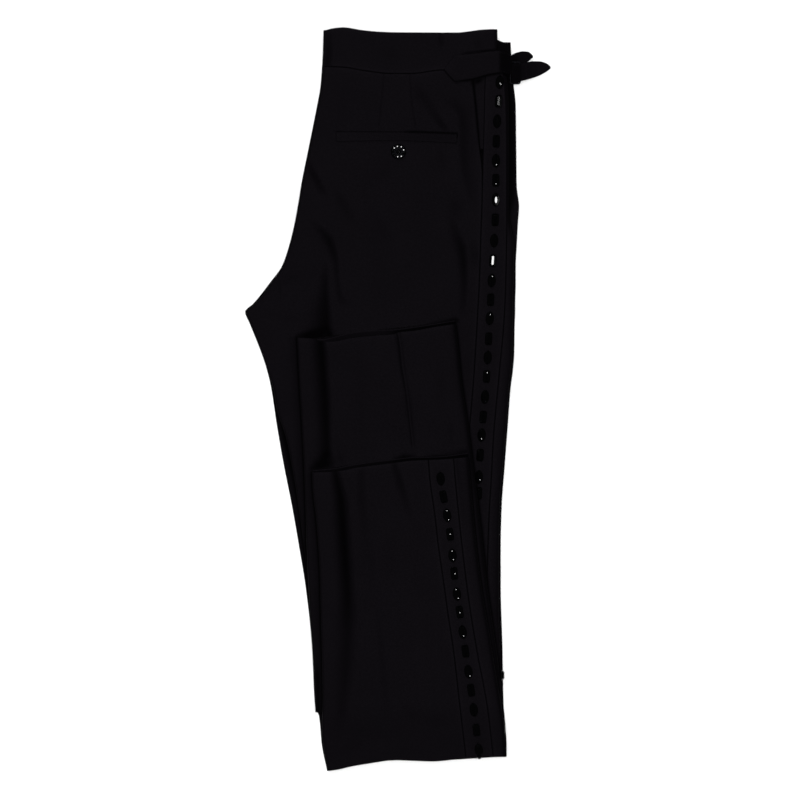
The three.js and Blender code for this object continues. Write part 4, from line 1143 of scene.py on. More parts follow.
def band_faces(rings, count):
    """The faces between each ring of points and the next."""
    return [
        (i * count + k, i * count + n, (i + 1) * count + n, (i + 1) * count + k)
        for i in range(rings - 1) for k, n in ((k, (k + 1) % count) for k in range(count))
    ]


def end_faces(rings, count):
    """The faces that close a stack of rings."""
    last = (rings - 1) * count
    return [tuple(range(count))[::-1], tuple(last + k for k in range(count))]


def ring_tube(path, radii, sides=10):
    """A closed tube round a closed path, with an oval section: radii are level and upright."""
    points, count = [], len(path)
    for i, centre in enumerate(path):
        ahead, behind = path[(i + 1) % count], path[i - 1]
        tangent = Vector((ahead[0] - behind[0], ahead[1] - behind[1], 0)).normalized()
        normal = Vector((-tangent.y, tangent.x, 0))
        for k in range(sides):
            angle = 2 * math.pi * k / sides
            offset = normal * (radii[0] * math.cos(angle))
            points.append((
                centre[0] + offset.x, centre[1] + offset.y, centre[2] + radii[1] * math.sin(angle),
            ))
    faces = []
    for i in range(count):
        for k in range(sides):
            a, b = i * sides + k, i * sides + (k + 1) % sides
            c, d = ((i + 1) % count) * sides + (k + 1) % sides, ((i + 1) % count) * sides + k
            faces.append((a, b, c, d))
    return points, faces


def capsule(start, end, radii, sides=12, caps=4):
    """A closed bar with rounded ends, that runs down the garment."""
    points = []
    sign = 1 if end[1] > start[1] else -1
    stations = []
    for k in range(1, caps + 1):
        a = math.pi / 2 * k / caps
        stations.append((start[1] + sign * radii[0] * (1 - math.sin(a)), math.sin(a)))
    for k in range(caps, 0, -1):
        a = math.pi / 2 * k / caps
        stations.append((end[1] - sign * radii[0] * (1 - math.sin(a)), math.sin(a)))
    for y, share in stations:
        for k in range(sides):
            angle = 2 * math.pi * k / sides
            points.append((
                start[0] + radii[0] * share * math.cos(angle), y,
                start[2] + radii[1] * share * math.sin(angle),
            ))
    return points, band_faces(len(stations), sides) + end_faces(len(stations), sides)


def outline_of(low, high, radius, steps=6):
    """A rectangle with rounded corners, as a closed path."""
    centres = [
        (high[0] - radius, high[1] - radius, 0), (low[0] + radius, high[1] - radius, 90),
        (low[0] + radius, low[1] + radius, 180), (high[0] - radius, low[1] + radius, 270),
    ]
    path = []
    for x, y, turn in centres:
        for k in range(steps + 1):
            angle = math.radians(turn + 90 * k / steps)
            path.append((x + radius * math.cos(angle), y + radius * math.sin(angle)))
    dense = []
    for i, point in enumerate(path):
        ahead = path[(i + 1) % len(path)]
        parts = max(1, round(math.dist(point, ahead) / 1.2))
        dense += [tuple(mix(np.array(point), np.array(ahead), n / parts)) for n in range(parts)]
    return dense


def build_buckle():
    """A slide buckle: a rounded frame with a middle bar, which the straps pass round."""
    half, z = BUCKLE["bar"] / 2, BUCKLE["low"] + BUCKLE["thick"] / 2
    low = (BUCKLE["from"] + half, WAIST_Y - BUCKLE["foot"] + half)
    high = (BUCKLE["to"] - half, WAIST_Y - BUCKLE["head"] - half)
    path = [(x - CENTRE_X, y, z) for x, y in outline_of(low, high, 1.6)]
    upright = BUCKLE["thick"] / 2
    points, faces = ring_tube(path, (half, upright))
    centre = (BUCKLE["from"] + BUCKLE["to"]) / 2 - CENTRE_X
    more, more_faces = capsule((centre, low[1] - .2, z), (centre, high[1] + .2, z), (half, upright))
    faces += [tuple(k + len(points) for k in face) for face in more_faces]
    points += more
    metres = (np.array(points) * MM).tolist()
    return new_object("slide_buckle_metal", mesh_of("slide_buckle_metal", metres, faces, 60))


# ------------------------------------------------------------------ stones


def stone_mesh(name, outline, rings, sharp=12):
    """A faceted stone of one unit: rings are (share of the outline, height), closed by a table."""
    points, count = [], len(outline)
    for share, z, *long in rings:
        points += [(x * share, y * (long[0] if long else share), z) for x, y in outline]
    return mesh_of(name, points, band_faces(len(rings), count) + end_faces(len(rings), count), sharp)


def cut_stone(name, outline, rings, twist=0.5):
    """A brilliant-like cut: every other ring is turned half a step, so kites and triangles meet."""
    count = len(outline)
    points = []
    for level, (share, z, *long) in enumerate(rings):
        for k in range(count):
            a, b = np.array(outline[k]), np.array(outline[(k + 1) % count])
            x, y = mix(a, b, twist) if level % 2 else a
            points.append((float(x) * share, float(y) * (long[0] if long else share), z))
    faces = []
    for i in range(len(rings) - 1):
        shift = 0 if i % 2 == 0 else 1
        for k in range(count):
            a, b = i * count + k, i * count + (k + 1) % count
            up, up_next = ((i + 1) * count + (k + shift + n) % count for n in (0, 1))
            across = (b, up_next, up) if i % 2 == 0 else (a, up, (i + 1) * count + k)
            faces += [(a, b, up), across]
    return mesh_of(name, points, faces + end_faces(len(rings), count), 5)


def oval_outline(count=12):
    angles = [2 * math.pi * (k + 0.5) / count for k in range(count)]
    return [(math.cos(a), math.sin(a)) for a in angles]


def baton_outline(corner=0.22):
    """A rectangle with its corners cut off."""
    c = corner
    return [(1, -1 + c), (1, 1 - c), (1 - c, 1), (-1 + c, 1), (-1, 1 - c), (-1, -1 + c),
            (-1 + c, -1), (1 - c, -1)]


def scaled_mesh(mesh, size):
    for vertex in mesh.vertices:
        vertex.co = Vector((vertex.co.x * size[0], vertex.co.y * size[1], vertex.co.z * size[2])) * MM
    return mesh


def seats(name, places):
    """Points for the stones to sit on, with how each is turned and how large it is."""
    mesh = bpy.data.meshes.new(name)
    mesh.from_pydata([tuple(item["at"]) for item in places], [], [])
    turn = mesh.attributes.new("turn", "FLOAT_VECTOR", "POINT")
    turn.data.foreach_set("vector", [x for item in places for x in item["turn"]])
    size = mesh.attributes.new("size", "FLOAT", "POINT")
    size.data.foreach_set("value", [item.get("size", 1.0) for item in places])
    return new_object(name, mesh)


def thing_tree(name, inputs, output):
    """Geometry Nodes that put a thing on every point and give what they made its finish."""
    tree = bpy.data.node_groups.new(name, "GeometryNodeTree")
    group_sockets(tree, [*inputs, ("Finish", "NodeSocketMaterial", None)],
                  [(output, "NodeSocketGeometry")])
    make, join = tree.nodes.new, tree.links.new
    start, end = make("NodeGroupInput"), make("NodeGroupOutput")
    put, real = make("GeometryNodeInstanceOnPoints"), make("GeometryNodeRealizeInstances")
    coat = make("GeometryNodeSetMaterial")
    join(put.outputs["Instances"], real.inputs["Geometry"])
    join(real.outputs["Geometry"], coat.inputs["Geometry"])
    join(start.outputs["Finish"], coat.inputs["Material"])
    join(coat.outputs["Geometry"], end.inputs[output])
    return tree, start, put


def setting_tree():
    """Geometry Nodes that put one thing on every seat, turned and sized by the seat."""
    tree, start, put = thing_tree("things on their seats", [
        ("Seats", "NodeSocketGeometry", None), ("Thing", "NodeSocketObject", None),
        ("Size", "NodeSocketFloat", 1),
    ], "Made")
    make, join = tree.nodes.new, tree.links.new
    thing, rotation = make("GeometryNodeObjectInfo"), make("FunctionNodeEulerToRotation")
    turn, size = make("GeometryNodeInputNamedAttribute"), make("GeometryNodeInputNamedAttribute")
    turn.data_type, turn.inputs["Name"].default_value = "FLOAT_VECTOR", "turn"
    size.data_type, size.inputs["Name"].default_value = "FLOAT", "size"
    join(start.outputs["Thing"], thing.inputs["Object"])
    join(start.outputs["Seats"], put.inputs["Points"])
    join(thing.outputs["Geometry"], put.inputs["Instance"])
    join(turn.outputs["Attribute"], rotation.inputs["Euler"])
    join(rotation.outputs["Rotation"], put.inputs["Rotation"])
    scale = maths(tree, "MULTIPLY", size.outputs["Attribute"], start.outputs["Size"])
    join(scale, put.inputs["Scale"])
    return tree


def stitch_tree():
    """Geometry Nodes that lay a row of stitches along a path."""
    tree, start, put = thing_tree("stitches along a path", [
        ("Path", "NodeSocketGeometry", None), ("Pitch", "NodeSocketFloat", 0.0025),
        ("Length", "NodeSocketFloat", 0.0018), ("Thread", "NodeSocketFloat", 0.0004),
    ], "Stitches")
    make, join = tree.nodes.new, tree.links.new
    curve, even = make("GeometryNodeMeshToCurve"), make("GeometryNodeResampleCurve")
    even.mode = "LENGTH"
    bead, shape = make("GeometryNodeMeshIcoSphere"), make("GeometryNodeTransform")
    bead.inputs["Radius"].default_value = 0.5
    bead.inputs["Subdivisions"].default_value = 2
    sizes, along = make("ShaderNodeCombineXYZ"), make("GeometryNodeInputTangent")
    turn = make("FunctionNodeAlignRotationToVector")
    turn.axis = "X"
    join(start.outputs["Path"], curve.inputs["Mesh"])
    join(curve.outputs["Curve"], even.inputs["Curve"])
    join(start.outputs["Pitch"], even.inputs["Length"])
    for axis, name in enumerate(("Length", "Thread", "Thread")):
        join(start.outputs[name], sizes.inputs[axis])
    join(bead.outputs["Mesh"], shape.inputs["Geometry"])
    join(sizes.outputs[0], shape.inputs["Scale"])
    join(along.outputs["Tangent"], turn.inputs["Vector"])
    join(even.outputs["Curve"], put.inputs["Points"])
    join(shape.outputs["Geometry"], put.inputs["Instance"])
    join(turn.outputs["Rotation"], put.inputs["Rotation"])
    return tree


def grown(carrier, tree, values):
    """Runs a tree on a carrier object and returns the plain mesh that it makes."""
    modifier = carrier.modifiers.new("made", "NODES")
    modifier.node_group = tree
    for item in tree.interface.items_tree:
        if item.in_out == "INPUT" and item.name in values:
            modifier[item.identifier] = values[item.name]
    bpy.context.view_layer.update()
    depsgraph = bpy.context.evaluated_depsgraph_get()
    mesh = bpy.data.meshes.new_from_object(carrier.evaluated_get(depsgraph))
    carrier.modifiers.clear()
    bpy.data.objects.remove(carrier)
    return mesh


def joined(name, meshes):
    """One object from several meshes, with their finishes kept apart."""
    things = [new_object(f"{name}_{k}", mesh) for k, mesh in enumerate(meshes)]
    for thing in bpy.context.selected_objects:
        thing.select_set(False)
    for thing in things:
        thing.select_set(True)
    bpy.context.view_layer.objects.active = things[0]
    if len(things) > 1:
        bpy.ops.object.join()
    whole = bpy.context.view_layer.objects.active
    whole.name = name
    whole.data.name = name
    whole.select_set(False)
    return whole


# ------------------------------------------------------------------ finishes


def group_sockets(tree, inputs, outputs):
    for name, kind, default in inputs:
        socket = tree.interface.new_socket(name, in_out="INPUT", socket_type=kind)
        if default is not None:
            socket.default_value = default
    for name, kind in outputs:
        tree.interface.new_socket(name, in_out="OUTPUT", socket_type=kind)


def maths(tree, operation, first, second=None):
    """A Math node; numbers are set on it and sockets are linked to it."""
    node = tree.nodes.new("ShaderNodeMath")
    node.operation = operation
    for socket, value in zip(node.inputs, (first, second)):
        if isinstance(value, (int, float)):
            socket.default_value = value
        elif value is not None:
            tree.links.new(value, socket)
    return node.outputs[0]


def scaled(tree, value, factor, offset):
    """A value times a factor, plus an offset."""
    return maths(tree, "ADD", maths(tree, "MULTIPLY", value, factor), offset)


def surfaced(material, tree, shader, colour, roughness, normal):
    """Links a material's colour, roughness and bump."""
    for name, socket in (("Base Color", colour), ("Roughness", roughness), ("Normal", normal)):
        tree.links.new(socket, shader.inputs[name])
    return material


def noise(tree, vector, scale, detail=2.0, roughness=0.5):
    node = tree.nodes.new("ShaderNodeTexNoise")
    for name, value in (("Scale", scale), ("Detail", detail), ("Roughness", roughness)):
        node.inputs[name].default_value = value
    tree.links.new(vector, node.inputs["Vector"])
    return node.outputs["Fac"]


def weave_group():
    """The crinkled plain weave of wool crepe."""
    tree = bpy.data.node_groups.new("crepe weave", "ShaderNodeTree")
    group_sockets(tree, [
        ("Grain", "NodeSocketVector", None), ("Thread Pitch", "NodeSocketFloat", 0.00045),
        ("Slub", "NodeSocketFloat", 0.5), ("Cloudiness", "NodeSocketFloat", 0.5),
    ], [("Tone", "NodeSocketFloat"), ("Roughness", "NodeSocketFloat"), ("Height", "NodeSocketFloat")])
    start, end = tree.nodes.new("NodeGroupInput"), tree.nodes.new("NodeGroupOutput")
    grain, pitch = start.outputs["Grain"], start.outputs["Thread Pitch"]
    crinkle, slub, cloud = (
        maths(tree, "SUBTRACT", noise(tree, grain, *values), 0.5)
        for values in ((900, 3), (420, 4, .6), (22, 3))
    )
    slub = maths(tree, "MULTIPLY", slub, start.outputs["Slub"])
    cloud = maths(tree, "MULTIPLY", cloud, start.outputs["Cloudiness"])
    split = tree.nodes.new("ShaderNodeSeparateXYZ")
    tree.links.new(grain, split.inputs[0])
    threads = []
    for axis in (0, 1):
        turns = maths(tree, "DIVIDE", split.outputs[axis], pitch)
        bent = maths(tree, "ADD", turns, maths(tree, "MULTIPLY", crinkle, 0.9))
        threads.append(maths(tree, "SINE", maths(tree, "MULTIPLY", bent, 2 * math.pi)))
    weave = maths(tree, "MULTIPLY", threads[0], threads[1])
    tone = maths(tree, "ADD", maths(tree, "MULTIPLY", weave, 0.12), maths(tree, "ADD", slub, cloud))
    link = tree.links.new
    link(maths(tree, "ADD", tone, 0.5), end.inputs["Tone"])
    link(scaled(tree, slub, -0.16, 0.56), end.inputs["Roughness"])
    raised = maths(tree, "ADD", maths(tree, "MULTIPLY", weave, 0.35),
                   maths(tree, "MULTIPLY", crinkle, 0.8))
    link(maths(tree, "ADD", raised, 0.5), end.inputs["Height"])
    return tree


def wear_group():
    """Fine scuffs and dulled patches of a polished surface."""
    tree = bpy.data.node_groups.new("handling wear", "ShaderNodeTree")
    group_sockets(tree, [
        ("Place", "NodeSocketVector", None), ("Scuffs", "NodeSocketFloat", 0.5),
    ], [("Wear", "NodeSocketFloat"), ("Height", "NodeSocketFloat")])
    start, end = tree.nodes.new("NodeGroupInput"), tree.nodes.new("NodeGroupOutput")
    stretch = tree.nodes.new("ShaderNodeMapping")
    stretch.inputs["Scale"].default_value = (1, 0.12, 1)
    tree.links.new(start.outputs["Place"], stretch.inputs["Vector"])
    scuff = noise(tree, stretch.outputs["Vector"], 3200, 3, .6)
    patch = noise(tree, start.outputs["Place"], 260, 3)
    wear = maths(tree, "MULTIPLY", maths(tree, "MULTIPLY", scuff, patch), start.outputs["Scuffs"])
    tree.links.new(wear, end.inputs["Wear"])
    tree.links.new(scuff, end.inputs["Height"])
    return tree


def new_material(name, values):
    """A material with its Principled shader's own values set."""
    material = bpy.data.materials.new(name)
    material.use_nodes = True
    shader = material.node_tree.nodes["Principled BSDF"]
    for socket, value in values.items():
        shader.inputs[socket].default_value = value
    return material, material.node_tree, shader


def placed(tree, group, values):
    node = tree.nodes.new("ShaderNodeGroup")
    node.node_tree = group
    for name, value in values.items():
        node.inputs[name].default_value = value
    return node


def toned(tree, mask, dark, light, start=None):
    """A colour between two shades, or between a colour that varies and a shade."""
    node = tree.nodes.new("ShaderNodeMix")
    node.data_type = "RGBA"
    colours = [socket for socket in node.inputs if socket.type == "RGBA"]
    if start:
        tree.links.new(start, colours[0])
    else:
        colours[0].default_value = (*dark, 1)
    colours[1].default_value = (*light, 1)
    tree.links.new(mask, node.inputs["Factor"])
    return next(socket for socket in node.outputs if socket.type == "RGBA")


def bumped(tree, heights, strength, distance):
    node = tree.nodes.new("ShaderNodeBump")
    node.inputs["Strength"].default_value = strength
    node.inputs["Distance"].default_value = distance
    tree.links.new(heights, node.inputs["Height"])
    return node.outputs["Normal"]


def crepe_finish(name, colour, pitch=0.00045, sheen=0.006, level=0.0168, weave=0.3):
    """Black wool crepe: finely crinkled, smoother along seams and hems from pressing, with a painted
    highlight there, and rougher with painted shade in its troughs and gaps.
    """
    material, tree, shader = new_material(name, {
        "Specular IOR Level": level, "Sheen Weight": sheen, "Sheen Roughness": 0.5,
        "Sheen Tint": (0.9, 0.8, 0.95, 1), "Specular Tint": (0.93, 0.8, 1.0, 1),
    })
    grain = tree.nodes.new("ShaderNodeUVMap")
    grain.uv_map = "grain"
    cloth = placed(tree, bpy.data.node_groups["crepe weave"], {
        "Thread Pitch": pitch, "Slub": 0.9, "Cloudiness": 0.7,
    })
    tree.links.new(grain.outputs["UV"], cloth.inputs["Grain"])
    masks = {}
    for mask in ("pressed", "hollow"):
        node = tree.nodes.new("ShaderNodeAttribute")
        node.attribute_name = mask
        masks[mask] = node.outputs["Fac"]
    # Painted highlight: the mask lightens the colour along seams and hems, where the cloth is also
    # smoother from pressing.
    tone = scaled(tree, masks["pressed"], 0.5, cloth.outputs["Tone"])
    shades = toned(tree, tone, [c * 0.62 for c in colour], [c * 1.38 for c in colour])
    # Painted shade: the mask darkens the colour towards a quarter in troughs, gaps and beside covering
    # layers.
    deep = toned(tree, masks["hollow"], None, [c * 0.25 for c in colour], shades)
    rough = scaled(tree, masks["pressed"], -0.06, cloth.outputs["Roughness"])
    rough = scaled(tree, masks["hollow"], 0.42, rough)
    bump = bumped(tree, cloth.outputs["Height"], weave, 0.00012)
    return surfaced(material, tree, shader, deep, rough, bump)


def polished_finish(name, colour, values, scuffs, dull, height):
    """Glass or metal with a little wear."""
    material, tree, shader = new_material(name, values)
    where = tree.nodes.new("ShaderNodeTexCoord")
    wear = placed(tree, bpy.data.node_groups["handling wear"], {"Scuffs": scuffs})
    tree.links.new(where.outputs["Object"], wear.inputs["Place"])
    shade = toned(tree, wear.outputs["Wear"], colour, [min(1, c * 1.9 + 0.0004) for c in colour])
    rough = scaled(tree, wear.outputs["Wear"], dull[1], dull[0])
    bump = bumped(tree, wear.outputs["Height"], height, 0.00002)
    return surfaced(material, tree, shader, shade, rough, bump)


def thread_finish(colour):
    material, tree, shader = new_material("sewing thread", {
        "Specular IOR Level": 0.03, "Sheen Weight": 0.01,
    })
    where = tree.nodes.new("ShaderNodeTexCoord")
    twist = noise(tree, where.outputs["Object"], 5200, 2)
    shade = toned(tree, twist, [c * 0.6 for c in colour], [c * 1.5 for c in colour])
    rough, bump = scaled(tree, twist, 0.3, 0.45), bumped(tree, twist, 0.5, 0.00008)
    return surfaced(material, tree, shader, shade, rough, bump)


def floor_finish(colour):
    material, tree, shader = new_material("pale floor", {
        "Roughness": 0.9, "Specular IOR Level": 0.1,
    })
    where = tree.nodes.new("ShaderNodeTexCoord")
    cloud = noise(tree, where.outputs["Object"], 1.5, 3)
    light = [min(1, c * 1.02) for c in colour]
    tree.links.new(toned(tree, cloud, colour, light), shader.inputs["Base Color"])
    return material


def finishes():
    """The garment's materials, made once."""
    made = bpy.data.materials
    if "black crepe" not in made:
        colours = bpy.context.scene.trousers_colours
        weave_group()
        wear_group()
        crepe_finish("black crepe", colours.crepe)
        crepe_finish("waistband crepe", colours.crepe, pitch=0.00042)
        crepe_finish("stripe crepe", colours.stripe, pitch=0.00036, weave=0.25)
        # A darker copy of the crepe for the layers beneath: a painted shade.
        crepe_finish("hidden crepe painted darker", [c * 0.9 for c in colours.crepe])
        polished_finish("jet glass", tuple(colours.stone), {
            "Specular IOR Level": 0.17, "IOR": 1.56, "Coat Weight": 0.0,
        }, 0.4, (0.03, 0.1), 0.04)
        for name, share in (("dark plated metal", 0.6), ("blackened metal", 0.2)):
            polished_finish(name, [c * share for c in colours.metal], {
                "Metallic": 1.0, "Specular Tint": (0.12 * share, 0.12 * share, 0.14 * share, 1),
            }, 0.6, (0.34, 0.25), 0.2)
        thread_finish(colours.thread)
        floor_finish(tuple(colours.floor))
    return made


# ------------------------------------------------------------------ sizes and colours to change


class TrousersSizes(bpy.types.PropertyGroup):
    """Sizes of the small things that a maker may change"""

    stone_size: FloatProperty(
        name="Stone size", description="Size of every stone against the size it is cut to",
        default=1.0, min=0.7, max=1.2,
    )
    stitch_pitch: FloatProperty(
        name="Stitch pitch", description="Distance from one stitch to the next",
        default=2.3 * MM, min=1 * MM, unit="LENGTH",
    )
    stitch_length: FloatProperty(
        name="Stitch length", description="Length of one stitch", default=1.7 * MM, min=0.5 * MM,
        unit="LENGTH",
    )
    thread_width: FloatProperty(
        name="Thread width", description="Width of the sewing thread", default=0.35 * MM,
        min=0.1 * MM, unit="LENGTH",
    )
    ring_stones: IntProperty(
        name="Ring stones", description="Number of stones round the button", default=9, min=5, max=14,
    )
    camera_height: FloatProperty(
        name="Camera height", description="Height of the camera over the surface", default=6.0,
        min=2.0, unit="LENGTH",
    )
    view_width: FloatProperty(
        name="View width", description="Width of the surface that the camera sees",
        default=0.8, min=0.4, unit="LENGTH",
    )


def colour(name, description, default):
    return FloatVectorProperty(
        name=name, description=description, default=default, subtype="COLOR", size=3, min=0, max=1,
    )


class TrousersColours(bpy.types.PropertyGroup):
    """Colours of the finishes"""

    crepe: colour("Crepe", "Colour of the wool crepe", (0.0013, 0.00107, 0.00147))
    stripe: colour("Stripe", "Colour of the side stripes' crepe", (0.0013, 0.00107, 0.00147))
    stone: colour("Stone", "Colour of the glass stones", (0.0004, 0.0004, 0.0005))
    metal: colour("Metal", "Colour of the plated metal", (0.005, 0.005, 0.006))
    thread: colour("Thread", "Colour of the sewing thread", (0.0016, 0.0013, 0.0018))
    floor: colour("Floor", "Colour of the surface below", (0.86, 0.86, 0.86))


# ------------------------------------------------------------------ one operator for each piece


class MakeHiddenLayers(bpy.types.Operator):
    """Make the layers that the fold hides, with rounded edges where they show"""

    bl_idname = "trousers.hidden_layers"
    bl_label = "Hidden layers"

    def execute(self, context):
        material = finishes()["hidden crepe painted darker"]
        pieces = build_hidden_layers()
        for k, piece in enumerate(pieces):
            finish_piece(piece, material, "hidden_layers" if k == 0 else None)
        return {"FINISHED"}


def lay_cloths(finish, cloths):
    """Gives each cloth its finish, hides the node that it stands for, and works out its cut."""
    for cloth, node, below in cloths:
        declare_cloth(finish_piece(cloth, finishes()[finish], node))
    return {"FINISHED"}


class MakePanels(bpy.types.Operator):
    """Make the back and front panels of the right half and the facing in the pocket's mouth"""

    bl_idname = "trousers.panels"
    bl_label = "Back and front panels"

    def execute(self, context):
        return lay_cloths("black crepe", (
            (build_back_right(), "back_right", "right_half_layers"),
            (build_pocket_facing(), "pocket_facing", "right_half_layers"),
            (build_front_right_edge(), "front_right_edge", "right_half_layers"),
        ))


class MakeTurnups(bpy.types.Operator):
    """Make the panels of the two legs that are turned up"""

    bl_idname = "trousers.turnups"
    bl_label = "Turned-up legs"

    def execute(self, context):
        return lay_cloths("black crepe", (
            (build_front_right_turnup(), "front_right_turnup", "right_turnup_layers"),
            (build_left_turnup("back_left_turnup_cloth", "left"), "back_left_turnup",
             "left_turnup_layers"),
            (build_left_turnup("front_left_edge_cloth", "right"), "front_left_edge",
             "left_turnup_layers"),
        ))


def set_things(name, thing_mesh, places, finish, size=1.0):
    """Sets one thing on every seat and returns the mesh."""
    thing = new_object(name + "_pattern", thing_mesh)
    tree = bpy.data.node_groups.get("things on their seats") or setting_tree()
    mesh = grown(seats(name + "_seats", places), tree, {
        "Thing": thing, "Size": float(size), "Finish": finish,
    })
    bpy.data.objects.remove(thing)
    return mesh


def turned(direction, tilt=(0.0, 0.0)):
    """Euler angles of a stone that lies along a direction and leans by a tilt, both in degrees."""
    lean = Euler((math.radians(tilt[0]), math.radians(tilt[1]), 0)).to_matrix()
    spin = Euler((0, 0, math.radians(direction))).to_matrix()
    return tuple((lean @ spin).to_euler())


# Tilts of the stones that lean towards the lamps: (about x, about y) in degrees.
RIGHT_TILTS = {1: (-4.35, -4.3), 6: (4.2, 3.6), 9: (-3.9, -3.8)}
# Small facets that are ground into some stones: along, across (shares of its size) and how lit.
RIGHT_WINDOWS = {
    0: ((-.34, .3, 1), (-.22, .14, 1)), 4: ((-.6, .1, .5),), 5: ((-.6, 0, .5),), 10: ((.6, .1, .8),),
    12: ((.6, .1, 1),), 15: ((.6, .1, 1),),
    16: ((-.6, .1, .5),), 18: ((.6, .1, .3), (-.55, .1, .5)), 20: ((-.4, .3, 1),), 21: ((.7, 0, .5),),
}
LEFT_WINDOWS = {
    1: ((.1, .2, .3),), 2: ((.7, .1, .5), (-.66, .2, 1)), 3: ((0, 0, 1),),
    4: ((.7, -.05, 1), (-.62, .15, 1)), 5: ((-.05, .2, 1),), 6: ((.68, -.05, 1), (-.66, .2, 1)),
    7: ((-.1, 0, 1),), 8: ((.7, -.1, .5), (-.6, .1, 1)), 9: ((.2, .2, .3),), 10: ((-.66, .2, 1),),
    12: ((.7, .1, .5),), 14: ((.6, -.1, .3),),
}
# How the stones round the button lean.
BUTTON_LEANS = ((3.9, 3.9), (-3.9, 3.9), (3.6, -3.4), (-4.1, -3.9), (0, 1), (2.9, 3.1), (-3.9, 3.7),
                (3.8, 4.0), (1, 0))


def sewn_stones(level, table, stones, shifts, tilts, windows):
    """The seats of a stripe's ovals, of its batons and of the small facets in them."""
    found = {"oval": [], "baton": [], "window": []}
    for k, (x, down, cut) in enumerate(stone_places(table, stones, shifts)):
        ahead = float(read(table, "down", "stones", down + 4) - read(table, "down", "stones", down - 4))
        seat = float(level["top"](down) + ripple(x, down)) - 0.25
        lean = tilts.get(k, (0.9 * math.sin(2.1 * k), 0.9 * math.cos(3.3 * k)))
        stone = {
            "at": place(x, down, seat), "turn": turned(math.degrees(math.atan2(ahead, 8)), lean),
        }
        found["oval" if cut is OVAL else "baton"].append(stone)
        for n, (along, across, lit) in enumerate(windows.get(k, ())):
            offset = Euler(stone["turn"]).to_matrix() @ Vector((
                across * cut["wide"], along * cut["long"], cut["rise"] - 1.34))
            tilt = mix(6.2, 3.9, lit)
            found["window"].append({
                "at": stone["at"] + np.array(offset) * MM,
                "turn": turned(0, (tilt * (-1) ** (k // 2 + n), tilt * (-1) ** n)),
            })
    return found


def prongs_of(places, cut):
    """A small bead of metal at each end of a stone."""
    beads = []
    for item in places:
        turn = Euler(item["turn"]).to_matrix()
        for end in (-1, 1):
            offset = turn @ Vector((0, end * (cut["long"] - 0.3) * MM, 0.9 * MM))
            beads.append({"at": np.array(item["at"]) + np.array(offset), "turn": (0, 0, 0)})
    return beads


def bead_mesh(name, radius, tall):
    rings = [(0.8, 0), (1, .3), (.86, .62), (.5, .9), (.2, 1)]
    return scaled_mesh(stone_mesh(name, oval_outline(8), rings, 80), (radius, radius, tall))


def oval_stone():
    rings = [(.9, 0), (1, .12), (.92, .32), (.3, 1, .5)]
    return scaled_mesh(cut_stone("oval", oval_outline(12), rings), (
        OVAL["wide"], OVAL["long"], OVAL["rise"]))


def baton_stone():
    rings = [(.9, 0), (1, .15), (.92, .36, .96), (.3, 1, .72)]
    return scaled_mesh(stone_mesh("baton", baton_outline(), rings), (
        BATON["wide"], BATON["long"], BATON["rise"]))


def window_mesh():
    """A small facet: the flat top of a short round stud of the stone's own glass."""
    rings = [(1, 0), (1, .9), (.92, 1)]
    return scaled_mesh(stone_mesh("window", oval_outline(10), rings, 30), (0.36, 0.46, 1.4))


def cup_mesh(name, cut, outline):
    """The shallow dark cup that a stone is held in."""
    rings = [(.96, 0), (1.03, .5), (1.0, 1), (.93, 1.1)]
    return scaled_mesh(stone_mesh(name, outline, rings, 60), (cut["wide"], cut["long"], 0.75))


def stones_of(name, seats_of, size, extra=()):
    """Stones, cups and prongs of one stripe, as a piece of glass and a piece of metal."""
    made = finishes()
    glass, metal = made["jet glass"], made["blackened metal"]
    ovals, batons = seats_of["oval"], seats_of["baton"]
    glass_meshes = [
        set_things("ovals", oval_stone(), ovals, glass, size),
        set_things("batons", baton_stone(), batons, glass, size),
        set_things("windows", window_mesh(), seats_of["window"], glass, size),
    ]
    metal_meshes = [
        set_things("oval_cups", cup_mesh("oval cup", OVAL, oval_outline(16)), ovals, metal, size),
        set_things("baton_cups", cup_mesh("baton cup", BATON, baton_outline(.3)), batons, metal, size),
        set_things("prongs", bead_mesh("prong", .55, .9), prongs_of(ovals, OVAL), metal),
    ]
    stones = joined(f"{name}_stones", [*glass_meshes, *extra])
    cups = joined(f"{name}_cups", metal_meshes)
    return held(stones), held(cups)


def stone_thread(level, table, seats_of):
    """The thread that runs from stone to stone on the right side of the cloth."""
    downs = np.arange(float(table["down"][0]) + 3, float(table["down"][-1]) - 2, 1.5)
    sewn = [float(WAIST_Y - item["at"][1] / MM) for part in seats_of.values() for item in part]
    downs = downs[(downs > min(sewn)) & (downs < max(sewn))]
    x = read(table, "down", "stones", downs)
    return place(x, downs, level["top"](downs) + ripple(x, downs) + 0.1)


def path_object(name, points):
    mesh = bpy.data.meshes.new(name)
    mesh.from_pydata([tuple(p) for p in points], [(i, i + 1) for i in range(len(points) - 1)], [])
    return new_object(name, mesh)


def stitches(name, points, pitch=None, length=None, thread=None):
    sizes = bpy.context.scene.trousers_sizes
    tree = bpy.data.node_groups.get("stitches along a path") or stitch_tree()
    return grown(path_object(name, points), tree, {
        "Pitch": pitch or sizes.stitch_pitch, "Length": length or sizes.stitch_length,
        "Thread": thread or sizes.thread_width, "Finish": finishes()["sewing thread"],
    })


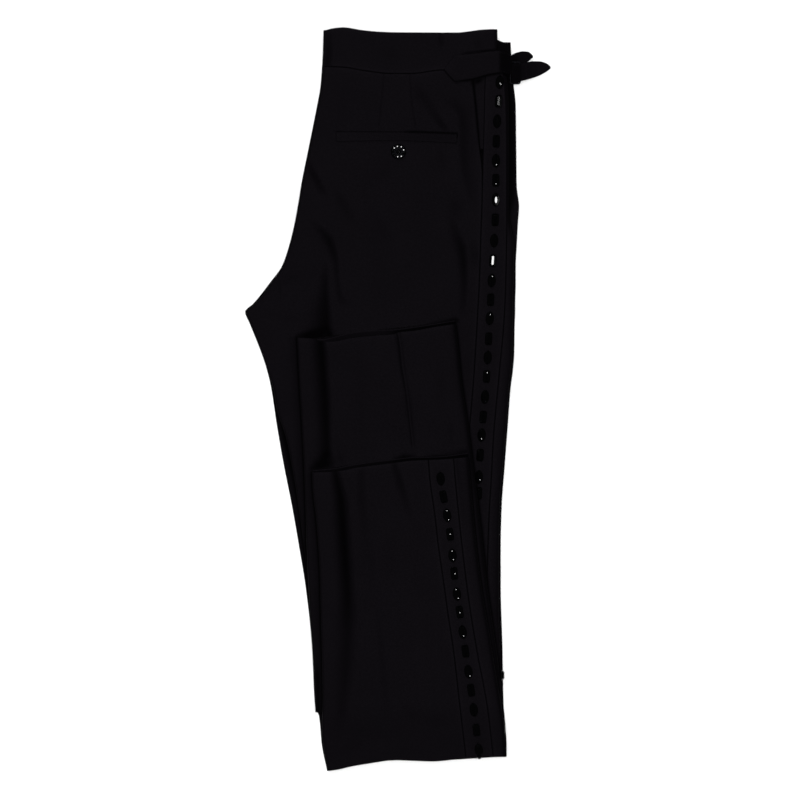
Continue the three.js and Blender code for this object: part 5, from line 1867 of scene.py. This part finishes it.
class MakeStripes(bpy.types.Operator):
    """Make the two side stripes, with their stones sewn on"""

    bl_idname = "trousers.stripes"
    bl_label = "Side stripes and stones"

    def execute(self, context):
        made, size = finishes(), context.scene.trousers_sizes.stone_size
        half, turnup = LEVELS["right_half"], LEVELS["left_turnup"]
        cloths = (
            ("right", half, RIGHT_STRIPE, (RIGHT_STONES, RIGHT_SHIFTS, RIGHT_TILTS, RIGHT_WINDOWS),
             (45, 552, right_turnup_side, ""), "side_stripe_right", "right_half_layers"),
            ("left", turnup, LEFT_STRIPE, (LEFT_STONES, LEFT_SHIFTS, {}, LEFT_WINDOWS),
             (turnup["head"](0.0), turnup["foot"](0.0), None, "foot"), "side_stripe_left",
             "left_turnup_layers"),
        )
        for name, level, table, sewn, ends, node, below in cloths:
            cloth = build_stripe(f"{node}_cloth", level, table, *ends)
            finish_piece(cloth, made["stripe crepe"], node)
            found = sewn_stones(level, table, *sewn)
            extra = [self.edge_stones()] if name == "left" else []
            glass, cups = stones_of(f"stripe_{name}", found, size, extra)
            path = stone_thread(level, table, found)
            sewing = joined(f"stripe_{name}_thread", [
                stitches("thread", path, pitch=0.9 * MM, length=1.15 * MM, thread=0.42 * MM),
            ])
            held(sewing)
            declare_cloth(cloth)
        return {"FINISHED"}

    def edge_stones(self):
        """Stones of the stripe's hidden part, which show at the garment's edge and at its fold."""
        upright = {"at": place(104.2, 645, 5.2), "turn": turned(0, (0, 82))}
        low = {"at": place(106.0, 699, 4.4), "turn": turned(0, (0, 78))}
        hung = {"at": place(82.2, 726.6, 5.4), "turn": turned(0, (84, 0))}
        glass = finishes()["jet glass"]
        meshes = [
            set_things("edge_ovals", oval_stone(), [upright], glass, 0.92),
            set_things("edge_batons", baton_stone(), [low, hung], glass, 0.85),
        ]
        whole = joined("edge_stones", meshes)
        mesh = whole.data
        bpy.data.objects.remove(whole)
        return mesh


class MakeWaistband(bpy.types.Operator):
    """Make the waistband: the right half's on top, and the end of the left half's beside it"""

    bl_idname = "trousers.waistband"
    bl_label = "Waistband"

    def execute(self, context):
        level = LEVELS["band"]
        right = panel("waistband_right_cloth", level, level["head"](0.0), level["foot"](0.0), [], {
            "folds": "left right", "cloth": BAND_CLOTH, "roll": BAND_ROLL, "ease_foot": True,
            "pitch": 1.3,
            "seams": (below_head(level), lambda x, down: level["foot"](x) - down),
        })
        low = LEVELS["left_band"]
        left = panel("waistband_left_cloth", low, *LEFT_BAND_ENDS, [
            (lambda down: 100.8 + 0 * down, (0,)),
        ], {"folds": "right", "cloth": 1.7, "roll": 1.9, "pitch": 1.2,
            "seams": (lambda x, down: down - LEFT_BAND_ENDS[0],),
            # Painted shade all over this band end, which lies lower than the right half's band.
            "shade": lambda x, down: 0.7 + 0 * x})
        return lay_cloths("waistband crepe", (
            (right, "waistband_right", "right_half_layers"),
            (left, "waistband_left", "left_half_layers"),
        ))


def strap_stitches(name, table, ends):
    """Stitches along both edges of a strap, a little in from them."""
    lines = []
    xs = np.arange(table["x"][0] + ends[0], table["x"][-1] - ends[1], 0.8)
    upper, lower = (np.interp(xs, table["x"], table[key]) for key in ("upper", "lower"))
    under = read(table, "x", "under", xs)
    for down in (upper + STITCH_INSET, lower - STITCH_INSET):
        crown = strap_crown((down - upper) / (lower - upper))
        top = under + STRAP_CLOTH + crown + strap_ripple(xs, down)
        lines.append(stitches(f"{name}_edge", place(xs, down, top - 0.16)))
    return lines


class MakeTab(bpy.types.Operator):
    """Make the side tab and the two straps that its buckle joins"""

    bl_idname = "trousers.tab"
    bl_label = "Side tab and straps"

    def execute(self, context):
        material = finishes()["waistband crepe"]
        # The last of each row is the strap's painted shade along its length: darker where it lies low
        # beside the buckle.
        for key, node, rounded, ends, shade in (
            ("tab", "side_tab", False, (4.5, 5), lambda x: 0.85 * span(x, 100.5, 105)),
            ("tail", "tab_strap_right", True, (3, 3.5), lambda x: mix(.75, .12, span(x, 122, 127))),
            ("under_tail", "tab_strap_left", True, (3, 3), lambda x: mix(.8, .35, span(x, 118, 124))),
        ):
            table = STRAPS[key]
            piece = build_strap(f"{node}_cloth", table, shade, rounded)
            finish_piece(piece, material, node)
            sewing = joined(f"{node}_stitches", strap_stitches(key, table, ends))
            held(sewing)
            declare_cloth(piece)
        return {"FINISHED"}


class MakeBuckle(bpy.types.Operator):
    """Make the slide buckle"""

    bl_idname = "trousers.buckle"
    bl_label = "Slide buckle"

    def execute(self, context):
        finish_piece(build_buckle(), finishes()["dark plated metal"], "slide_buckle")
        return {"FINISHED"}


class MakePocket(bpy.types.Operator):
    """Make the back pocket's welt, its jewelled button and the worked hole below it"""

    bl_idname = "trousers.pocket"
    bl_label = "Back pocket"

    def execute(self, context):
        made = finishes()
        welt = finish_piece(build_welt(), made["black crepe"], "pocket_welt")
        level = LEVELS["right_half"]

        def on_cloth(x, down, up):
            x, down = np.asarray(x, float), np.asarray(down, float)
            return place(x, down, height(level, x, down) + up)

        tack = [
            stitches("tack", on_cloth([x] * 9, np.linspace(head, foot, 9), 1.62), pitch=1.1 * MM,
                     length=1.2 * MM)
            for x, head, foot in ((-59.4, 103, 110.8), (-58.8, 103, 110.8), (58.2, 105, 112.4),
                                  (58.8, 105, 112.4))
        ]
        hole = [
            stitches("hole", on_cloth([x] * 7, np.linspace(131.4, 136.6, 7), .06), pitch=0.7 * MM,
                     length=0.8 * MM) for x in (1.0, 2.0)
        ]
        sewing = joined("pocket_stitches", [*tack, *hole])
        held(sewing)
        declare_cloth(welt)
        self.button(made, float(height(level, BUTTON["x"], BUTTON["down"])) + SEAM_GAP)
        return {"FINISHED"}

    def button(self, made, seat):
        """A round dark cup with a stone in its middle and a ring of stones round it."""
        radius, count = BUTTON["radius"], bpy.context.scene.trousers_sizes.ring_stones
        profile = [(.82, 0), (.95, .02), (1, .1), (1, .3), (.96, .42), (.88, .46), (.5, .4), (.2, .42)]
        base = scaled_mesh(stone_mesh("button cup", oval_outline(40), profile, 50), (
            radius, radius, BUTTON["height"]))
        centre = place(BUTTON["x"], BUTTON["down"], seat)
        base.transform(Matrix.Translation(Vector(centre)))
        base.materials.append(made["blackened metal"])
        ring, beads = [], []
        for k in range(count):
            angle = 2 * math.pi * (k + 0.5) / count
            lean = BUTTON_LEANS[k % len(BUTTON_LEANS)]
            for found, away, turn, up in ((ring, 5.35, 0.0, 1.75), (beads, 3.35, 0.5, 1.85)):
                at = angle + 2 * math.pi * turn / count
                found.append({
                    "at": place(BUTTON["x"] + away * math.cos(at), BUTTON["down"] - away * math.sin(at),
                                seat + up),
                    "turn": turned(math.degrees(at), lean),
                })
        small = [(.88, 0), (1, .3), (.86, .54), (.38, 1)]
        middle = [{"at": place(BUTTON["x"], BUTTON["down"], seat + 1.85), "turn": turned(12, (4, 2))}]
        stones = joined("pocket_button_stones", [
            set_things(name, scaled_mesh(cut_stone("round", oval_outline(corners), small), cut),
                       places, made["jet glass"])
            for name, corners, cut, places in (
                ("ring", 8, (1.62, 1.62, 1.5), ring), ("middle", 10, (2.7, 2.7, 2.3), middle),
            )
        ])
        cup = joined("pocket_button_cup", [
            base, set_things("beads", bead_mesh("bead", .5, 1.1), beads, made["blackened metal"]),
        ])
        held(stones)
        held(cup)
        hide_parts("pocket_button")


FLOOR_HALF = 40
FLOOR_GAP = 0.4 * MM
SENSOR = 36
# How far the overhead lamps stand from straight above, in degrees.
OVERHEAD_LEAN = 11
# The other lamps: name, direction towards it, strength and how wide it is in degrees.
SIDE_LAMPS = (("key", (-0.30, 0.78, 0.55), 1.2, 9), ("low", (0.12, -0.80, 0.58), 0.4, 8))
# The backdrop's shades, from straight below (0) to straight above (1).
BACKDROP_SHADES = ((0.0, 0.03), (0.3, 0.04), (0.5, 0.5), (0.75, 0.45), (0.9, 0.06), (0.97, 0.012))


class MakeStage(bpy.types.Operator):
    """Lay the pale floor, set the lamps and point the camera straight down"""

    bl_idname = "trousers.stage"
    bl_label = "Floor, lamps and camera"

    def execute(self, context):
        scene, sizes = context.scene, context.scene.trousers_sizes
        mesh = bpy.data.meshes.new("floor")
        corners = [(x * FLOOR_HALF, y * FLOOR_HALF, 0) for x, y in ((-1, -1), (1, -1), (1, 1), (-1, 1))]
        mesh.from_pydata(corners, [], [(0, 1, 2, 3)])
        mesh.materials.append(finishes()["pale floor"])
        floor = new_object("floor", mesh)
        floor.location.z = -FLOOR_GAP
        floor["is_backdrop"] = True
        self.backdrop(scene)
        near = math.radians(OVERHEAD_LEAN)
        for k in range(4):
            around = math.radians(45 + 90 * k)
            self.lamp(f"overhead_{k}", (
                math.sin(near) * math.cos(around), math.sin(near) * math.sin(around), math.cos(near),
            ), 0.72, 7)
        for side_lamp in SIDE_LAMPS:
            self.lamp(*side_lamp)
        camera = bpy.data.cameras.new("camera")
        camera.sensor_width = SENSOR
        camera.lens = SENSOR * sizes.camera_height / sizes.view_width
        camera.clip_start, camera.clip_end = 0.1, 200
        seen = bpy.data.objects.new("camera", camera)
        scene.collection.objects.link(seen)
        seen.location = (2.4 * MM, 0, sizes.camera_height)
        scene.camera = seen
        scene.view_settings.view_transform = "Standard"
        scene.view_settings.look = "None"
        return {"FINISHED"}

    def backdrop(self, scene):
        """A backdrop that is brightest half way up, and dim at the horizon and overhead."""
        world = bpy.data.worlds.new("studio")
        world.use_nodes = True
        tree = world.node_tree
        where, split = tree.nodes.new("ShaderNodeTexCoord"), tree.nodes.new("ShaderNodeSeparateXYZ")
        ramp = tree.nodes.new("ShaderNodeValToRGB")
        tree.links.new(where.outputs["Generated"], split.inputs[0])
        tree.links.new(split.outputs["Z"], ramp.inputs["Fac"])
        while len(ramp.color_ramp.elements) < len(BACKDROP_SHADES):
            ramp.color_ramp.elements.new(0.5)
        for element, (position, shade) in zip(ramp.color_ramp.elements, BACKDROP_SHADES):
            element.position, element.color = position, (shade, shade, shade, 1)
        tree.links.new(ramp.outputs["Color"], tree.nodes["Background"].inputs["Color"])
        scene.world = world

    def lamp(self, name, towards, strength, angle):
        light = bpy.data.lights.new(name, "SUN")
        light.energy, light.angle = strength, math.radians(angle)
        lamp = bpy.data.objects.new(name, light)
        bpy.context.scene.collection.objects.link(lamp)
        lamp.location = Vector(towards) * 5
        lamp.rotation_euler = Vector(towards).to_track_quat("Z", "Y").to_euler()


class TrousersPanel(bpy.types.Panel):
    """Lists the steps that make the trousers"""

    bl_idname = "VIEW3D_PT_trousers"
    bl_label = "Folded trousers"
    bl_space_type = "VIEW_3D"
    bl_region_type = "UI"
    bl_category = "Trousers"

    def draw(self, context):
        for group in (context.scene.trousers_sizes, context.scene.trousers_colours):
            for name in group.__annotations__:
                self.layout.prop(group, name)
        for step in STEPS:
            self.layout.operator(step.bl_idname)


STEPS = (MakeStage, MakeHiddenLayers, MakePanels, MakeTurnups, MakeStripes, MakeWaistband, MakeTab,
         MakeBuckle, MakePocket)
CLASSES = (TrousersSizes, TrousersColours, *STEPS, TrousersPanel)


def register():
    for item in CLASSES:
        bpy.utils.register_class(item)
    bpy.types.Scene.trousers_sizes = PointerProperty(type=TrousersSizes)
    bpy.types.Scene.trousers_colours = PointerProperty(type=TrousersColours)


def unregister():
    del bpy.types.Scene.trousers_colours
    del bpy.types.Scene.trousers_sizes
    for item in reversed(CLASSES):
        bpy.utils.unregister_class(item)


def main():
    register()
    for step in STEPS:
        group, name = step.bl_idname.split(".")
        getattr(getattr(bpy.ops, group), name)()
    boxes = {"cad": CAD_BOX, "visual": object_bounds()}
    {name: [list(corner) for corner in box] for name, box in boxes.items()}


if __name__ == "__main__":
    main()
